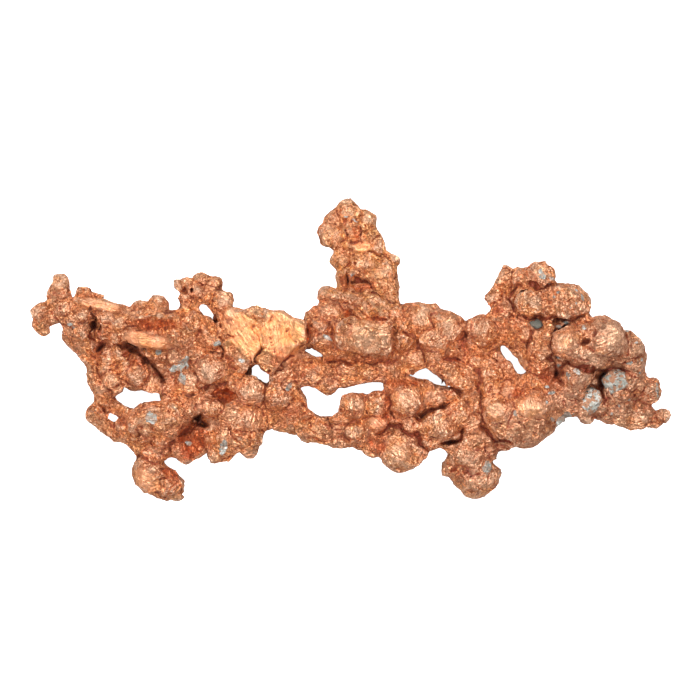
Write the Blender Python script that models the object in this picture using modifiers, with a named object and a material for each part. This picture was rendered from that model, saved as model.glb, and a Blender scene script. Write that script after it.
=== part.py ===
"""Native copper nugget: one branching, knobbly mass of copper with three small bits of host rock held in it.

It lies flat. +X runs along its length, +Y across it and +Z up from the surface it rests on.
The copper grew as one piece, so it is one solid: rounded swellings, thin strands, plates and blocks are
laid down limb by limb, fused in a voxel remesh, roughened, and thinned to flat facets.
Every place and size in the limb lists is in millimetres, measured from near the middle of its outline.
"""

from dataclasses import dataclass
from math import ceil, cos, pi, radians, sin
from random import Random

import bmesh
import bpy
from mathutils import Matrix, Vector, noise
from mathutils.geometry import intersect_point_line

# Driving dimensions, in millimetres.
LENGTH = 80.0  # the nugget's length, which scales all that follows
LAID_OUT = 80.0  # the length that the limb lists below are laid out for
VOXEL = 0.42  # grain of the remesh that fuses the swellings
BALL_LEVELS = 2  # subdivision of the icosphere under each swelling
STRAND_STEP = 0.55  # spacing of the swellings along a strand, as a share of its radius
FACET_DEPTH = 0.13  # how far a swelling's corners stray from its ellipsoid, as a share of its radius
ROCK_FACETS = 0.5  # the same for a bit of rock, which is more angular
FLAT_FILL = 0.1  # how far the balls are grown, because their flats lie inside the ellipsoid
SLAB_BEVEL = 0.5  # how far a plate's upper edges are broken
RIDGE_DEPTH = 0.34  # height of the crumpled ridges and pits all over
RIDGE_SIZE = 1.9  # spacing of the crumpled ridges
TRIANGLES = 9000  # triangles left in the copper
ROCK_GAP = 0.3  # clearance between a bit of rock and the copper round it
TRIM = 0.2  # height in the limb lists at which the lowest swellings are trimmed flat, to rest on
FLOOR_BOX = (120.0, 80.0, 20.0)  # the block that trims them

KNOB_FROM = 1.7  # half width of the smallest swelling that carries knobs on its underside
KNOBS_EACH = 4
KNOB_SHARE = (0.28, 0.5)  # size of a knob, as a share of the swelling that it sits on
KNOB_SEED = 29

MM = 0.001 * LENGTH / LAID_OUT

COLOURS = {
    "copper": ((0.62, 0.26, 0.13, 1.0), 0.38, 1.0),
    "rock": ((0.36, 0.38, 0.34, 1.0), 0.85, 0.0),
}


@dataclass(frozen=True)
class Lump:
    """A rounded swelling: its middle, its half sizes and its turn about +Z in degrees."""

    x: float
    y: float
    z: float
    rx: float
    ry: float = 0.0
    rz: float = 0.0
    turn: float = 0.0

    def matrix(self, grow=0.0):
        """The unit ball's matrix for this swelling, with each half size longer by grow."""
        sizes = (self.rx + grow, (self.ry or self.rx) + grow, (self.rz or self.rx) + grow)
        place = Matrix.Translation((self.x, self.y, self.z))
        return place @ Matrix.Rotation(radians(self.turn), 4, "Z") @ Matrix.Diagonal((*sizes, 1.0))


@dataclass(frozen=True)
class Strand:
    """A thin limb: the points (x, y, z, radius) that it runs through."""

    points: tuple

    def lumps(self):
        """Swellings close enough along the strand to fuse into one rod."""
        found = []
        for start, end in zip(self.points, self.points[1:]):
            start, end = Vector(start), Vector(end)
            reach = (end - start).to_3d().length
            count = max(1, ceil(reach / (STRAND_STEP * min(start[3], end[3]))))
            for step in range(count + 1):
                x, y, z, radius = start.lerp(end, step / count)
                found.append(Lump(x, y, z, radius))
        return found


@dataclass(frozen=True)
class Slab:
    """A plate: its outline, the height of its middle, its thickness, and how much it climbs along X and Y."""

    outline: tuple
    z: float
    thickness: float
    climb: tuple = (0.0, 0.0)


# --- The limbs, from left to right ------------------------------------------------------------------------

LEFT_FINGER = (
    Lump(-36.3, 8.3, 6.8, 1.15),
    Lump(-37.2, 7.1, 6.5, 0.9),
    Lump(-35.8, 7.1, 6.6, 0.8),
    Lump(-36.8, 6.2, 6.5, 1.1),
    Lump(-38.8, 4.7, 6.3, 1.05, 1.35, 1.2),
    Lump(-38.8, 3.1, 6.2, 1.0, 0.9, 1.1),
    Lump(-38.2, 2.5, 6.1, 0.7),
    Lump(-37.2, 4.3, 6.4, 1.0, 1.1, 1.1),
    Lump(-36.2, 5.0, 6.6, 1.3, 1.3, 1.4),
    Lump(-34.6, 5.0, 6.9, 1.4, 1.4, 1.6),
    Lump(-33.0, 4.9, 6.9, 1.4, 1.3, 1.6),
    Lump(-31.2, 4.8, 6.9, 1.3, 1.3, 1.7),
    Lump(-29.6, 4.4, 7.0, 1.4, 1.4, 1.9),
    Lump(-33.2, 7.2, 7.2, 0.95),
    Lump(-32.4, 6.8, 7.1, 0.8),
    Lump(-31.4, 6.7, 7.0, 0.7),
    Lump(-34.5, 3.9, 7.7, 1.1),
    Lump(-33.3, 4.5, 8.2, 0.9),
    Lump(-33.6, 2.3, 6.9, 1.1, 1.0, 1.3),
    Lump(-35.0, 2.6, 6.3, 1.0, 1.2, 1.1),
    Lump(-32.0, 1.5, 5.4, 1.7, 2.6, 1.3),
    Lump(-30.3, 4.0, 8.5, 1.2),
    Lump(-28.8, 3.4, 8.9, 1.1),
    Lump(-30.6, 2.2, 6.9, 0.9, 1.0, 1.2),
    Lump(-29.0, 2.0, 7.4, 1.2),
)

LEFT_STRANDS = (
    Strand(
        (
            (-34.6, 3.2, 6.4, 1.1),
            (-34.9, 1.7, 6.0, 1.0),
            (-33.4, -0.1, 5.6, 0.9),
            (-32.2, -1.9, 5.2, 1.0),
            (-31.7, -4.0, 4.9, 1.05),
            (-30.9, -5.6, 4.8, 1.0),
            (-30.2, -6.6, 4.9, 0.95),
            (-29.0, -7.6, 5.4, 0.8),
            (-27.4, -8.3, 6.5, 1.0),
        )
    ),
    Strand(
        (
            (-32.1, -7.9, 4.4, 1.0),
            (-31.6, -8.8, 4.4, 0.85),
            (-30.2, -9.9, 4.5, 0.8),
            (-29.0, -10.6, 4.8, 0.95),
            (-27.8, -10.9, 5.4, 0.9),
            (-26.4, -10.6, 6.4, 1.0),
        )
    ),
    Strand(((-31.0, -6.8, 4.7, 0.8), (-31.8, -7.6, 4.5, 0.8))),
    Strand(((-28.9, -10.6, 4.9, 0.8), (-27.8, -11.0, 5.0, 0.7), (-26.2, -12.1, 5.2, 1.0))),
    Strand(((-28.6, 2.0, 6.5, 1.1), (-29.8, -0.4, 5.9, 1.1), (-30.8, -2.4, 5.4, 1.0))),
)

LEFT_INNER = (
    Lump(-28.6, -0.3, 6.9, 0.9),
    Lump(-30.0, -1.2, 6.5, 0.9),
    Lump(-30.4, -2.5, 6.2, 1.0),
    Lump(-28.2, -1.9, 6.5, 1.1),
    Lump(-26.7, -2.8, 6.8, 1.5, 1.4, 1.8),
    Lump(-29.7, -3.8, 5.9, 1.2),
    Lump(-30.6, -4.8, 5.6, 1.1),
    Lump(-29.3, -4.8, 5.9, 0.85),
    Lump(-28.0, -3.6, 6.3, 1.1),
    Lump(-26.7, -4.1, 6.6, 1.1),
    Lump(-24.7, -4.2, 7.0, 1.35),
    Lump(-27.0, -1.2, 5.6, 2.2, 1.8, 2.2),
)

UPPER_LEFT = (
    Lump(-26.4, 2.2, 5.7, 3.6, 2.9, 3.2),
    Lump(-21.5, 1.9, 5.5, 4.2, 3.0, 3.3),
    Lump(-18.2, 0.4, 5.4, 3.4, 2.9, 3.1),
    Lump(-22.6, -1.6, 5.4, 3.8, 2.6, 2.8),
    Lump(-27.3, 4.2, 8.3, 1.3, 1.2, 1.4),
    Lump(-26.1, 5.2, 8.0, 0.95),
    Lump(-23.8, 5.6, 8.2, 1.25),
    Lump(-22.3, 4.5, 7.8, 0.6),
    Lump(-24.9, 4.3, 8.2, 1.2),
    Lump(-21.3, 3.9, 7.6, 1.4, 1.2, 1.6),
    Lump(-24.2, -0.4, 8.7, 1.5, 1.1, 1.1, -15),
    Lump(-21.4, -0.8, 8.9, 1.5, 1.2, 1.3),
    Lump(-19.2, -0.6, 8.7, 1.2, 1.1, 1.2),
    Lump(-17.6, 1.5, 8.6, 1.6, 1.3, 1.5),
    Lump(-15.7, 2.6, 8.6, 1.1, 1.3, 1.6),
    Lump(-24.0, 1.0, 2.8, 2.6, 2.1, 2.9),
    Lump(-19.6, -0.8, 3.4, 2.0, 1.9, 2.6),
    Lump(-27.6, 2.6, 4.4, 1.8, 1.6, 2.0),
)

UPPER_LEFT_LEDGES = (
    Strand(((-28.0, 3.9, 9.3, 0.8), (-26.0, 4.1, 9.9, 0.85), (-24.0, 3.9, 10.1, 0.8), (-21.8, 3.7, 9.6, 0.75))),
    Strand(((-27.7, 1.9, 9.4, 1.0), (-26.0, 1.5, 10.2, 1.1), (-24.0, 1.1, 10.3, 1.0), (-21.6, 1.6, 9.9, 1.1))),
    Strand(((-20.6, 1.8, 9.7, 1.1), (-19.8, 3.2, 9.5, 1.2), (-19.6, 4.2, 8.6, 0.8))),
)

HEAD_CLUSTER = (
    Lump(-21.5, 8.1, 6.6, 0.75),
    Lump(-20.4, 8.0, 6.8, 1.05),
    Lump(-18.6, 8.8, 6.8, 1.05, 1.0, 1.2),
    Lump(-17.1, 8.3, 6.9, 1.05),
    Lump(-19.2, 7.4, 7.4, 1.2, 1.0, 1.5),
    Lump(-17.5, 7.0, 7.5, 1.1),
    Lump(-20.6, 6.8, 7.0, 0.85),
    Lump(-19.4, 6.3, 6.9, 1.0),
    Lump(-17.6, 6.4, 7.0, 0.9),
    Lump(-18.6, 3.1, 7.4, 1.1),
    Lump(-15.8, 6.3, 8.0, 1.25),
)

HEAD_STEMS = (
    Strand(((-20.1, 6.6, 6.9, 1.0), (-20.1, 5.2, 7.0, 1.05), (-20.4, 3.8, 7.2, 1.3))),
    Strand(((-16.6, 5.7, 7.6, 0.9), (-16.2, 4.7, 7.4, 0.7), (-15.8, 2.9, 7.3, 0.75))),
    Strand(((-17.2, 6.9, 7.2, 0.9), (-16.1, 6.6, 7.6, 0.8))),
)

WING = (
    Slab(
        (
            (-15.6, 4.7),
            (-14.8, 5.4),
            (-13.8, 4.9),
            (-11.6, 5.5),
            (-9.9, 4.95),
            (-8.4, 4.95),
            (-6.9, 4.0),
            (-5.3, 3.4),
            (-5.1, 1.0),
            (-6.5, 0.6),
            (-7.6, -0.5),
            (-8.8, -1.9),
            (-9.8, -3.2),
            (-10.9, -2.4),
            (-11.6, -1.4),
            (-12.4, -2.0),
            (-13.2, -2.7),
            (-14.4, -2.7),
            (-15.6, -1.2),
            (-15.9, 2.0),
        ),
        10.2,
        2.8,
        (0.12, 0.10),
    ),
)

WING_LUMPS = (
    Lump(-12.3, 1.4, 8.2, 3.6, 3.2, 2.6, -30),
    Lump(-8.5, 1.8, 8.2, 3.0, 2.4, 2.2),
    Lump(-10.4, -1.2, 9.6, 1.2, 1.6, 1.6, 30),
    Lump(-13.7, -1.5, 9.8, 1.3, 1.4, 1.7),
    Lump(-6.3, 2.3, 10.0, 1.3, 1.3, 1.8),
    Lump(-14.6, 4.2, 9.2, 1.2, 1.2, 1.4),
    Lump(-11.6, 4.2, 9.6, 1.6, 1.4, 1.7),
    Lump(-8.6, -1.4, 8.4, 1.2, 1.2, 1.8),
    Lump(-12.2, 0.6, 5.0, 3.0, 2.6, 2.6),
)

CENTRE_LEFT = (
    Lump(-16.2, -2.9, 5.4, 4.0, 2.9, 2.9),
    Lump(-11.0, -5.9, 5.8, 4.2, 1.8, 2.4, 5),
    Lump(-17.4, -2.6, 9.4, 2.0, 1.7, 1.8, -20),
    Lump(-19.8, -3.8, 7.6, 1.7, 1.5, 1.7),
    Lump(-22.6, -4.5, 6.6, 1.7, 1.3, 1.8),
    Lump(-12.5, -5.0, 9.3, 1.8, 1.35, 1.7, 10),
    Lump(-9.0, -5.8, 8.3, 1.6, 1.5, 1.6),
    Lump(-8.0, -3.0, 8.3, 1.15),
    Lump(-7.6, -4.6, 7.4, 1.2),
    Lump(-14.3, -4.0, 8.2, 1.2),
    Lump(-6.9, -0.7, 7.8, 1.0),
    Lump(-6.3, 0.4, 8.0, 0.8),
    Lump(-5.4, -1.2, 7.4, 0.8),
    Lump(-9.3, -3.7, 7.4, 0.8),
    Lump(-12.2, -4.2, 8.4, 1.0),
    Lump(-6.4, -6.9, 7.0, 1.2),
    Lump(-9.0, -6.8, 6.6, 1.4, 1.0, 1.4),
    Lump(-19.4, -6.0, 6.2, 2.4, 1.8, 2.4),
    Lump(-16.0, -6.4, 5.4, 2.6, 1.6, 2.2),
)

FLIPPER = (
    Lump(-20.0, -7.2, 7.4, 2.2, 2.0, 2.3),
    Lump(-22.6, -8.2, 7.9, 2.6, 2.3, 2.4, -20),
    Lump(-25.2, -8.8, 8.1, 2.2, 2.1, 2.1, -30),
    Lump(-26.6, -9.2, 7.8, 1.3, 1.5, 1.6),
    Lump(-28.2, -9.4, 6.3, 1.0),
    Lump(-30.9, -8.2, 4.6, 0.6),
    Lump(-24.9, -7.4, 8.2, 1.4, 1.2, 1.4),
    Lump(-24.8, -8.0, 9.3, 1.2, 1.0, 1.0),
    Lump(-22.0, -7.3, 9.4, 1.4, 0.9, 1.0, -15),
    Lump(-25.6, -10.6, 7.2, 1.0),
    Lump(-22.2, -10.2, 7.1, 1.2, 1.2, 1.4),
    Lump(-23.9, -10.9, 6.2, 1.5, 1.4, 1.8),
    Lump(-22.0, -11.4, 5.2, 1.1),
    Lump(-26.4, -12.1, 5.3, 1.0),
    Lump(-24.6, -12.6, 5.0, 1.4, 1.2, 1.6),
    Lump(-23.3, -12.6, 4.7, 1.1, 1.2, 1.4),
)

DROP_LOBE = (
    Lump(-25.0, -15.6, 3.3, 2.25, 2.2, 3.4),
    Lump(-25.5, -14.2, 3.8, 1.6, 1.5, 2.6),
    Lump(-23.6, -17.8, 3.0, 1.1, 1.0, 2.0),
    Lump(-24.9, -17.0, 3.0, 1.2, 1.1, 2.4),
    Lump(-22.9, -16.9, 3.1, 1.9, 1.7, 3.0),
    Lump(-21.6, -18.1, 2.8, 0.85, 0.85, 1.6),
    Lump(-21.8, -16.8, 3.2, 1.1, 1.0, 1.9),
    Lump(-23.5, -15.9, 5.2, 1.2, 1.0, 1.2),
    Lump(-25.6, -16.1, 5.0, 1.0),
)

LOWER_LEFT = (
    Lump(-14.2, -8.8, 5.0, 3.4, 2.2, 2.5),
    Lump(-17.4, -7.0, 8.2, 1.5, 1.3, 1.5),
    Lump(-13.1, -8.6, 8.0, 2.3, 1.9, 1.9, -15),
    Lump(-12.4, -10.7, 7.0, 1.7, 1.5, 1.8),
    Lump(-15.6, -10.6, 6.8, 1.5, 1.7, 1.9),
    Lump(-11.4, -8.9, 6.6, 1.5, 1.4, 1.8),
    Lump(-16.0, -12.2, 6.2, 1.5, 1.4, 1.7),
    Lump(-17.0, -13.1, 5.9, 1.15, 1.05, 1.4),
    Lump(-15.5, -13.3, 5.9, 0.85),
    Lump(-14.3, -12.4, 6.0, 0.8),
    Lump(-12.6, -12.6, 6.2, 1.15, 0.95, 1.4),
    Lump(-12.2, -11.8, 6.4, 1.0),
    Lump(-17.5, -9.2, 5.8, 1.2, 1.2, 1.6),
    Lump(-20.0, -10.0, 5.0, 1.7, 1.6, 1.9),
    Lump(-19.4, -12.2, 4.8, 1.5, 1.5, 1.8),
    Lump(-21.2, -12.6, 4.7, 1.2, 1.4, 1.7),
    Lump(-20.4, -13.1, 4.7, 1.1, 1.1, 1.5),
    Lump(-17.8, -11.2, 4.9, 1.5, 1.3, 1.6),
)

BEAM = (
    Strand(
        (
            (-8.2, -2.4, 7.2, 1.5),
            (-6.4, -2.7, 7.0, 1.7),
            (-4.8, -2.9, 6.9, 1.65),
            (-2.6, -3.3, 7.0, 1.9),
            (0.5, -2.9, 6.9, 1.5),
            (3.5, -2.4, 7.0, 1.6),
            (5.6, -2.0, 7.1, 1.6),
            (7.4, -1.3, 7.1, 1.5),
        )
    ),
)

BEAM_LUMPS = (
    Lump(-2.7, -4.2, 7.4, 1.6, 1.4, 1.6),
    Lump(-4.9, -3.0, 8.3, 1.0),
    Lump(2.4, -2.9, 8.4, 1.2, 0.7, 0.7),
    Lump(-0.4, -2.6, 8.2, 1.3, 0.9, 0.9),
)

LOWER_STRAND = (
    Strand(
        (
            (-10.6, -8.6, 6.6, 1.4),
            (-8.8, -8.4, 6.6, 1.6),
            (-6.9, -8.7, 6.5, 1.8),
            (-5.0, -9.7, 6.4, 1.9),
            (-2.6, -10.3, 6.4, 1.85),
            (-0.2, -10.5, 6.5, 1.7),
            (1.8, -10.6, 6.6, 1.6),
        )
    ),
)

LOWER_STRAND_LUMPS = (
    Lump(-7.0, -7.2, 7.2, 1.5, 1.4, 1.6),
    Lump(-1.3, -8.8, 7.6, 1.3),
    Lump(0.6, -10.2, 8.2, 1.3, 1.1, 1.2),
    Lump(-3.8, -9.8, 7.9, 1.3, 0.8, 0.8, -25),
)

LOWER_CENTRE = (
    Lump(1.0, -7.2, 6.8, 2.3, 1.9, 2.4),
    Lump(0.6, -6.7, 8.9, 1.7, 1.3, 1.3),
    Lump(-0.2, -6.3, 8.2, 1.0),
    Lump(9.5, -7.4, 5.8, 1.7, 1.4, 1.6),
    Lump(3.4, -6.9, 7.9, 1.9, 1.7, 2.2),
    Lump(6.9, -6.3, 8.7, 2.2, 1.9, 2.2, 15),
    Lump(3.3, -9.1, 8.5, 1.3, 1.1, 1.3),
    Lump(4.8, -8.3, 5.4, 2.8, 2.2, 2.4),
    Lump(10.7, -5.8, 6.4, 2.2, 1.4, 1.9),
    Lump(2.9, -11.8, 6.4, 1.6, 1.6, 1.9),
    Lump(1.5, -11.4, 6.3, 1.2, 1.0, 1.5),
)

LOWER_CENTRE_STRANDS = (
    Strand(((4.4, -5.9, 7.6, 0.85), (5.4, -4.8, 8.0, 0.75), (7.4, -4.2, 8.1, 0.8), (9.2, -4.6, 7.7, 0.8), (10.4, -5.2, 7.4, 0.8))),
)

TOWER = (
    Lump(-0.3, 17.6, 5.0, 1.4, 1.4, 1.8),
    Lump(2.1, 16.5, 5.0, 1.3, 1.3, 1.7),
    Lump(-1.9, 16.3, 4.9, 1.3, 1.3, 1.6),
    Lump(-3.4, 14.9, 4.7, 0.75),
    Lump(-2.7, 14.1, 4.8, 1.3, 1.2, 1.5),
    Lump(-1.6, 13.8, 5.2, 1.4, 1.3, 1.8),
    Lump(0.4, 15.2, 4.9, 2.2, 1.9, 2.4),
    Lump(2.4, 14.2, 4.8, 1.4, 1.6, 2.2),
    Lump(3.0, 12.9, 4.9, 1.45, 1.4, 2.2),
    Lump(1.2, 13.2, 3.7, 2.2, 1.8, 2.4),
    Lump(-1.0, 11.4, 5.2, 1.35, 1.3, 1.8),
    Lump(1.9, 11.2, 5.2, 2.6, 1.6, 2.5),
    Lump(5.4, 11.3, 5.6, 0.85),
    Lump(4.6, 9.8, 5.6, 1.5, 1.5, 2.3),
    Lump(4.7, 8.1, 5.8, 1.6, 1.5, 2.2),
    Lump(4.9, 6.4, 6.2, 1.3, 1.3, 1.9),
    Lump(0.6, 9.7, 5.9, 1.1, 0.8, 1.4),
    Lump(1.0, 14.6, 2.4, 2.0, 2.2, 2.5),
    Lump(2.4, 8.6, 4.4, 2.4, 2.2, 2.2),
)

TOWER_STRANDS = (
    Strand(((-0.6, 10.6, 5.5, 0.9), (-1.0, 9.0, 5.9, 0.65), (-0.7, 7.6, 6.3, 0.7), (0.1, 6.6, 7.0, 0.9))),
    Strand(((-3.0, 6.9, 7.6, 1.0), (-1.4, 6.6, 7.9, 0.7), (0.6, 6.4, 8.4, 0.75), (2.0, 5.2, 8.8, 0.8))),
    Strand(((2.2, 7.0, 7.0, 0.7), (3.3, 5.9, 8.4, 0.95), (4.2, 4.6, 8.8, 0.9))),
)

CENTRE_NECK = (
    Lump(-3.0, 6.9, 7.5, 1.15),
    Lump(-4.9, 2.4, 7.2, 1.0, 1.8, 1.6),
    Lump(-4.9, 4.0, 7.2, 0.75),
    Lump(-4.3, 4.6, 7.8, 0.85),
    Lump(-2.3, 5.0, 8.3, 1.4, 1.3, 1.5),
    Lump(-3.7, 3.2, 8.1, 1.2, 1.1, 1.4),
    Lump(-3.3, 1.0, 7.8, 1.3, 1.1, 1.6),
    Lump(5.5, 4.7, 7.9, 0.95),
    Lump(0.8, 4.6, 5.6, 3.4, 2.0, 2.6),
    Lump(-1.6, 2.0, 5.8, 2.6, 2.2, 2.8),
    Lump(2.4, 1.4, 5.8, 4.0, 2.4, 3.0),
)

CENTRE_LEDGES = (
    Strand(((-2.9, -0.1, 7.6, 0.85), (-1.2, -0.6, 8.4, 0.8), (1.2, -0.7, 8.6, 0.8), (4.2, -0.9, 8.5, 0.8))),
)

CENTRE_BLOCK = (
    Slab(
        ((-1.9, 0.6), (-1.7, 3.4), (0.0, 4.2), (2.4, 3.6), (5.2, 3.6), (5.4, 0.6), (4.8, -0.7), (1.0, -0.3), (-0.8, -0.1)),
        9.8,
        4.6,
        (0.03, 0.10),
    ),
)

RIGHT_CENTRE = (
    Lump(9.0, 3.9, 7.4, 2.3, 2.1, 2.4, 10),
    Lump(7.6, 4.6, 7.2, 1.3),
    Lump(10.3, 4.6, 7.2, 1.15),
    Lump(12.1, 2.8, 7.8, 2.3, 2.1, 2.6),
    Lump(6.6, 0.9, 7.6, 1.4, 1.4, 1.7),
    Lump(10.6, 1.3, 8.6, 1.9, 1.5, 1.9),
    Lump(8.1, -1.0, 7.4, 1.4, 1.3, 1.6),
    Lump(10.6, -0.9, 7.3, 1.6, 1.4, 1.8),
    Lump(6.9, 3.4, 7.0, 1.5, 1.7, 1.9),
    Lump(8.6, -1.5, 7.2, 1.1),
    Lump(16.6, 2.4, 7.6, 2.2, 2.0, 2.4, -10),
    Lump(14.6, 1.4, 5.2, 2.0, 2.0, 2.2),
    Lump(13.0, -0.6, 4.9, 2.4, 1.9, 1.9),
    Lump(15.6, -1.0, 5.0, 2.0, 1.8, 1.8),
    Lump(9.6, 1.6, 4.4, 3.6, 2.6, 2.6),
    Lump(16.6, 0.4, 4.9, 1.9, 2.0, 2.1),
)

RIGHT_CENTRE_STRANDS = (
    Strand(((10.6, -1.4, 7.4, 1.2), (12.8, -2.7, 7.4, 1.5), (14.6, -4.4, 7.2, 1.7), (15.4, -6.6, 7.0, 1.8))),
    Strand(((15.9, -1.8, 7.4, 1.0), (17.6, -2.2, 7.2, 1.2), (17.6, -4.4, 6.9, 1.6), (17.4, -6.6, 7.0, 1.7))),
    Strand(((15.6, -4.6, 7.2, 1.3), (17.2, -3.2, 7.3, 1.1))),
    Strand(((9.4, -5.2, 6.6, 1.1), (12.2, -5.9, 6.6, 1.2), (14.4, -6.2, 6.8, 1.4))),
    Strand(((18.2, -0.8, 6.6, 0.8), (19.0, -2.2, 6.7, 1.2), (20.2, -3.5, 6.8, 1.1), (21.4, -4.4, 6.9, 1.3))),
)

LOWER_RIGHT_CENTRE = (
    Lump(6.7, -12.6, 7.0, 2.8, 2.7, 3.0, 10),
    Lump(8.8, -12.4, 7.0, 1.1, 1.4, 1.6),
    Lump(6.2, -13.0, 6.6, 2.4, 2.4, 2.6),
    Lump(11.2, -9.4, 8.4, 2.4, 1.9, 2.2, 35),
    Lump(13.4, -7.9, 8.0, 1.7, 1.5, 1.9, 30),
    Lump(7.9, -9.5, 7.9, 1.4, 1.3, 1.6),
    Lump(9.9, -11.4, 7.6, 1.4, 1.2, 1.6),
    Lump(12.1, -11.2, 6.2, 1.5, 1.3, 1.5),
    Lump(12.9, -12.3, 5.6, 1.0, 0.9, 1.3),
    Lump(17.3, -10.8, 5.8, 1.3, 1.2, 1.6),
    Lump(15.2, -9.4, 6.8, 1.7, 1.7, 2.0),
    Lump(9.2, -9.8, 5.0, 2.6, 2.0, 2.2),
    Lump(13.0, -8.6, 5.2, 2.4, 2.0, 2.2),
)

FOOT = (
    Lump(15.2, -11.0, 6.2, 1.7, 1.6, 2.0),
    Lump(14.7, -13.5, 5.6, 2.2, 1.8, 2.4),
    Lump(12.9, -14.6, 4.2, 1.5, 1.6, 2.0),
    Lump(15.6, -16.4, 3.4, 2.3, 2.4, 3.5),
    Lump(17.2, -15.8, 3.9, 1.65, 1.8, 2.6),
    Lump(17.3, -12.7, 5.4, 1.2, 1.2, 1.5),
    Lump(19.2, -11.7, 5.6, 1.0, 0.8, 1.2),
    Lump(13.9, -16.0, 3.0, 1.3, 1.3, 1.8),
    Lump(17.3, -16.4, 3.6, 1.45, 1.4, 2.2),
)

RIGHT_BRIDGE = (
    Strand(((18.6, 3.6, 7.2, 1.6), (20.4, 2.2, 7.2, 1.5), (21.7, 0.6, 7.4, 1.3), (22.9, -1.1, 7.4, 1.5))),
    Strand(((18.9, 4.4, 7.6, 1.2), (18.9, 2.6, 7.4, 1.3), (18.0, 1.2, 7.0, 1.0))),
)

LOWER_BULB = (
    Lump(20.8, -8.2, 5.4, 4.2, 3.8, 3.6),
    Lump(18.4, -7.2, 8.8, 1.6, 1.7, 1.8),
    Lump(22.5, -6.9, 9.1, 2.0, 1.9, 1.7, 15),
    Lump(23.4, -9.4, 6.4, 2.5, 2.2, 2.6),
    Lump(20.5, -10.3, 7.4, 2.3, 1.7, 1.9),
    Lump(21.8, -10.4, 6.2, 2.2, 1.9, 2.2),
    Lump(25.5, -8.2, 6.2, 1.4, 1.3, 1.7),
    Lump(26.0, -4.0, 6.0, 1.7, 1.4, 1.8),
    Lump(25.2, -6.6, 7.0, 2.6, 2.2, 2.6),
    Lump(27.2, -6.4, 6.8, 2.0, 1.9, 2.4),
    Lump(19.8, -5.2, 7.2, 1.7, 1.5, 1.9),
    Lump(22.9, -4.4, 7.0, 1.9, 1.6, 2.0),
)

UPPER_HEAD = (
    Lump(19.1, 8.9, 8.4, 0.9, 1.4, 1.1, -12),
    Lump(19.4, 10.1, 8.3, 0.55, 0.5, 0.6),
    Lump(18.1, 6.6, 7.6, 1.15, 1.0, 1.4),
    Lump(19.2, 5.6, 7.2, 1.6, 1.5, 1.8),
    Lump(21.0, 8.9, 8.2, 1.3, 1.3, 1.6),
    Lump(22.9, 9.1, 8.8, 1.7, 1.6, 1.9),
    Lump(24.2, 9.3, 8.8, 1.6, 1.75, 1.9),
    Lump(23.0, 7.0, 6.6, 3.2, 2.4, 2.6),
    Lump(26.6, 6.6, 7.0, 2.6, 2.0, 2.6),
    Lump(22.4, 3.7, 6.2, 2.4, 1.6, 2.2),
    Lump(26.0, 4.0, 6.8, 2.2, 1.4, 2.2),
    Lump(20.9, 6.4, 7.4, 1.6, 1.8, 2.2),
)

SAUSAGE = (
    Strand(((22.0, 5.9, 11.0, 1.4), (24.4, 6.0, 11.2, 1.5), (26.2, 6.2, 11.0, 1.9), (27.7, 6.3, 10.4, 2.2))),
    Strand(((28.6, 5.6, 9.4, 1.5), (28.4, 4.4, 8.6, 1.4))),
)

RIGHT_CLUSTER = (
    Lump(30.4, -0.6, 6.4, 5.4, 4.2, 4.2),
    Lump(25.4, 0.6, 6.2, 2.8, 3.2, 3.2),
    Lump(24.0, -0.4, 8.8, 1.7, 2.6, 2.3),
    Lump(27.2, 0.8, 11.6, 2.2, 2.2, 2.4, 20),
    Lump(31.9, 1.4, 11.8, 2.5, 2.4, 2.9, -15),
    Lump(29.8, -1.2, 11.2, 2.6, 1.2, 2.0, -12),
    Lump(29.0, 3.0, 8.0, 1.8, 1.4, 2.2),
    Lump(31.4, 2.8, 9.6, 1.7, 1.4, 1.9),
    Lump(34.5, 0.3, 8.6, 2.2, 2.1, 2.8),
    Lump(35.5, -1.6, 8.0, 1.6, 2.2, 2.4),
    Lump(28.4, -3.2, 10.0, 1.9, 1.5, 2.2, -10),
    Lump(28.0, -5.2, 9.2, 1.4, 1.0, 1.3),
    Lump(29.4, -7.2, 7.0, 1.6, 1.5, 1.8),
    Lump(29.6, -8.4, 6.6, 1.0, 0.95, 1.3),
    Lump(31.0, -3.0, 3.4, 3.4, 2.8, 3.5),
    Lump(32.6, -5.4, 6.0, 2.6, 2.4, 2.8),
    Lump(24.8, -2.0, 5.4, 2.0, 1.9, 2.2),
    Lump(35.9, -4.0, 6.6, 1.3, 1.8, 1.9),
)

LOWER_FLAP = (
    Slab(
        (
            (31.2, -5.6),
            (30.8, -8.6),
            (31.6, -9.2),
            (33.3, -9.3),
            (35.1, -10.1),
            (36.9, -9.6),
            (38.3, -9.7),
            (38.6, -8.6),
            (37.6, -7.4),
            (37.2, -5.0),
            (34.5, -4.8),
        ),
        6.2,
        2.6,
        (0.0, 0.18),
    ),
)

TAIL = (
    Lump(33.8, -7.6, 6.2, 2.2, 1.7, 1.8, -15),
    Lump(36.4, -8.2, 6.0, 1.8, 1.6, 1.6, -20),
    Lump(39.0, -8.4, 5.8, 1.0, 1.0, 1.2),
    Lump(38.0, -9.0, 5.8, 0.9),
    Lump(37.5, -5.2, 6.2, 1.3, 1.55, 1.5),
    Lump(37.9, -4.3, 6.2, 0.75),
)

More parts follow.
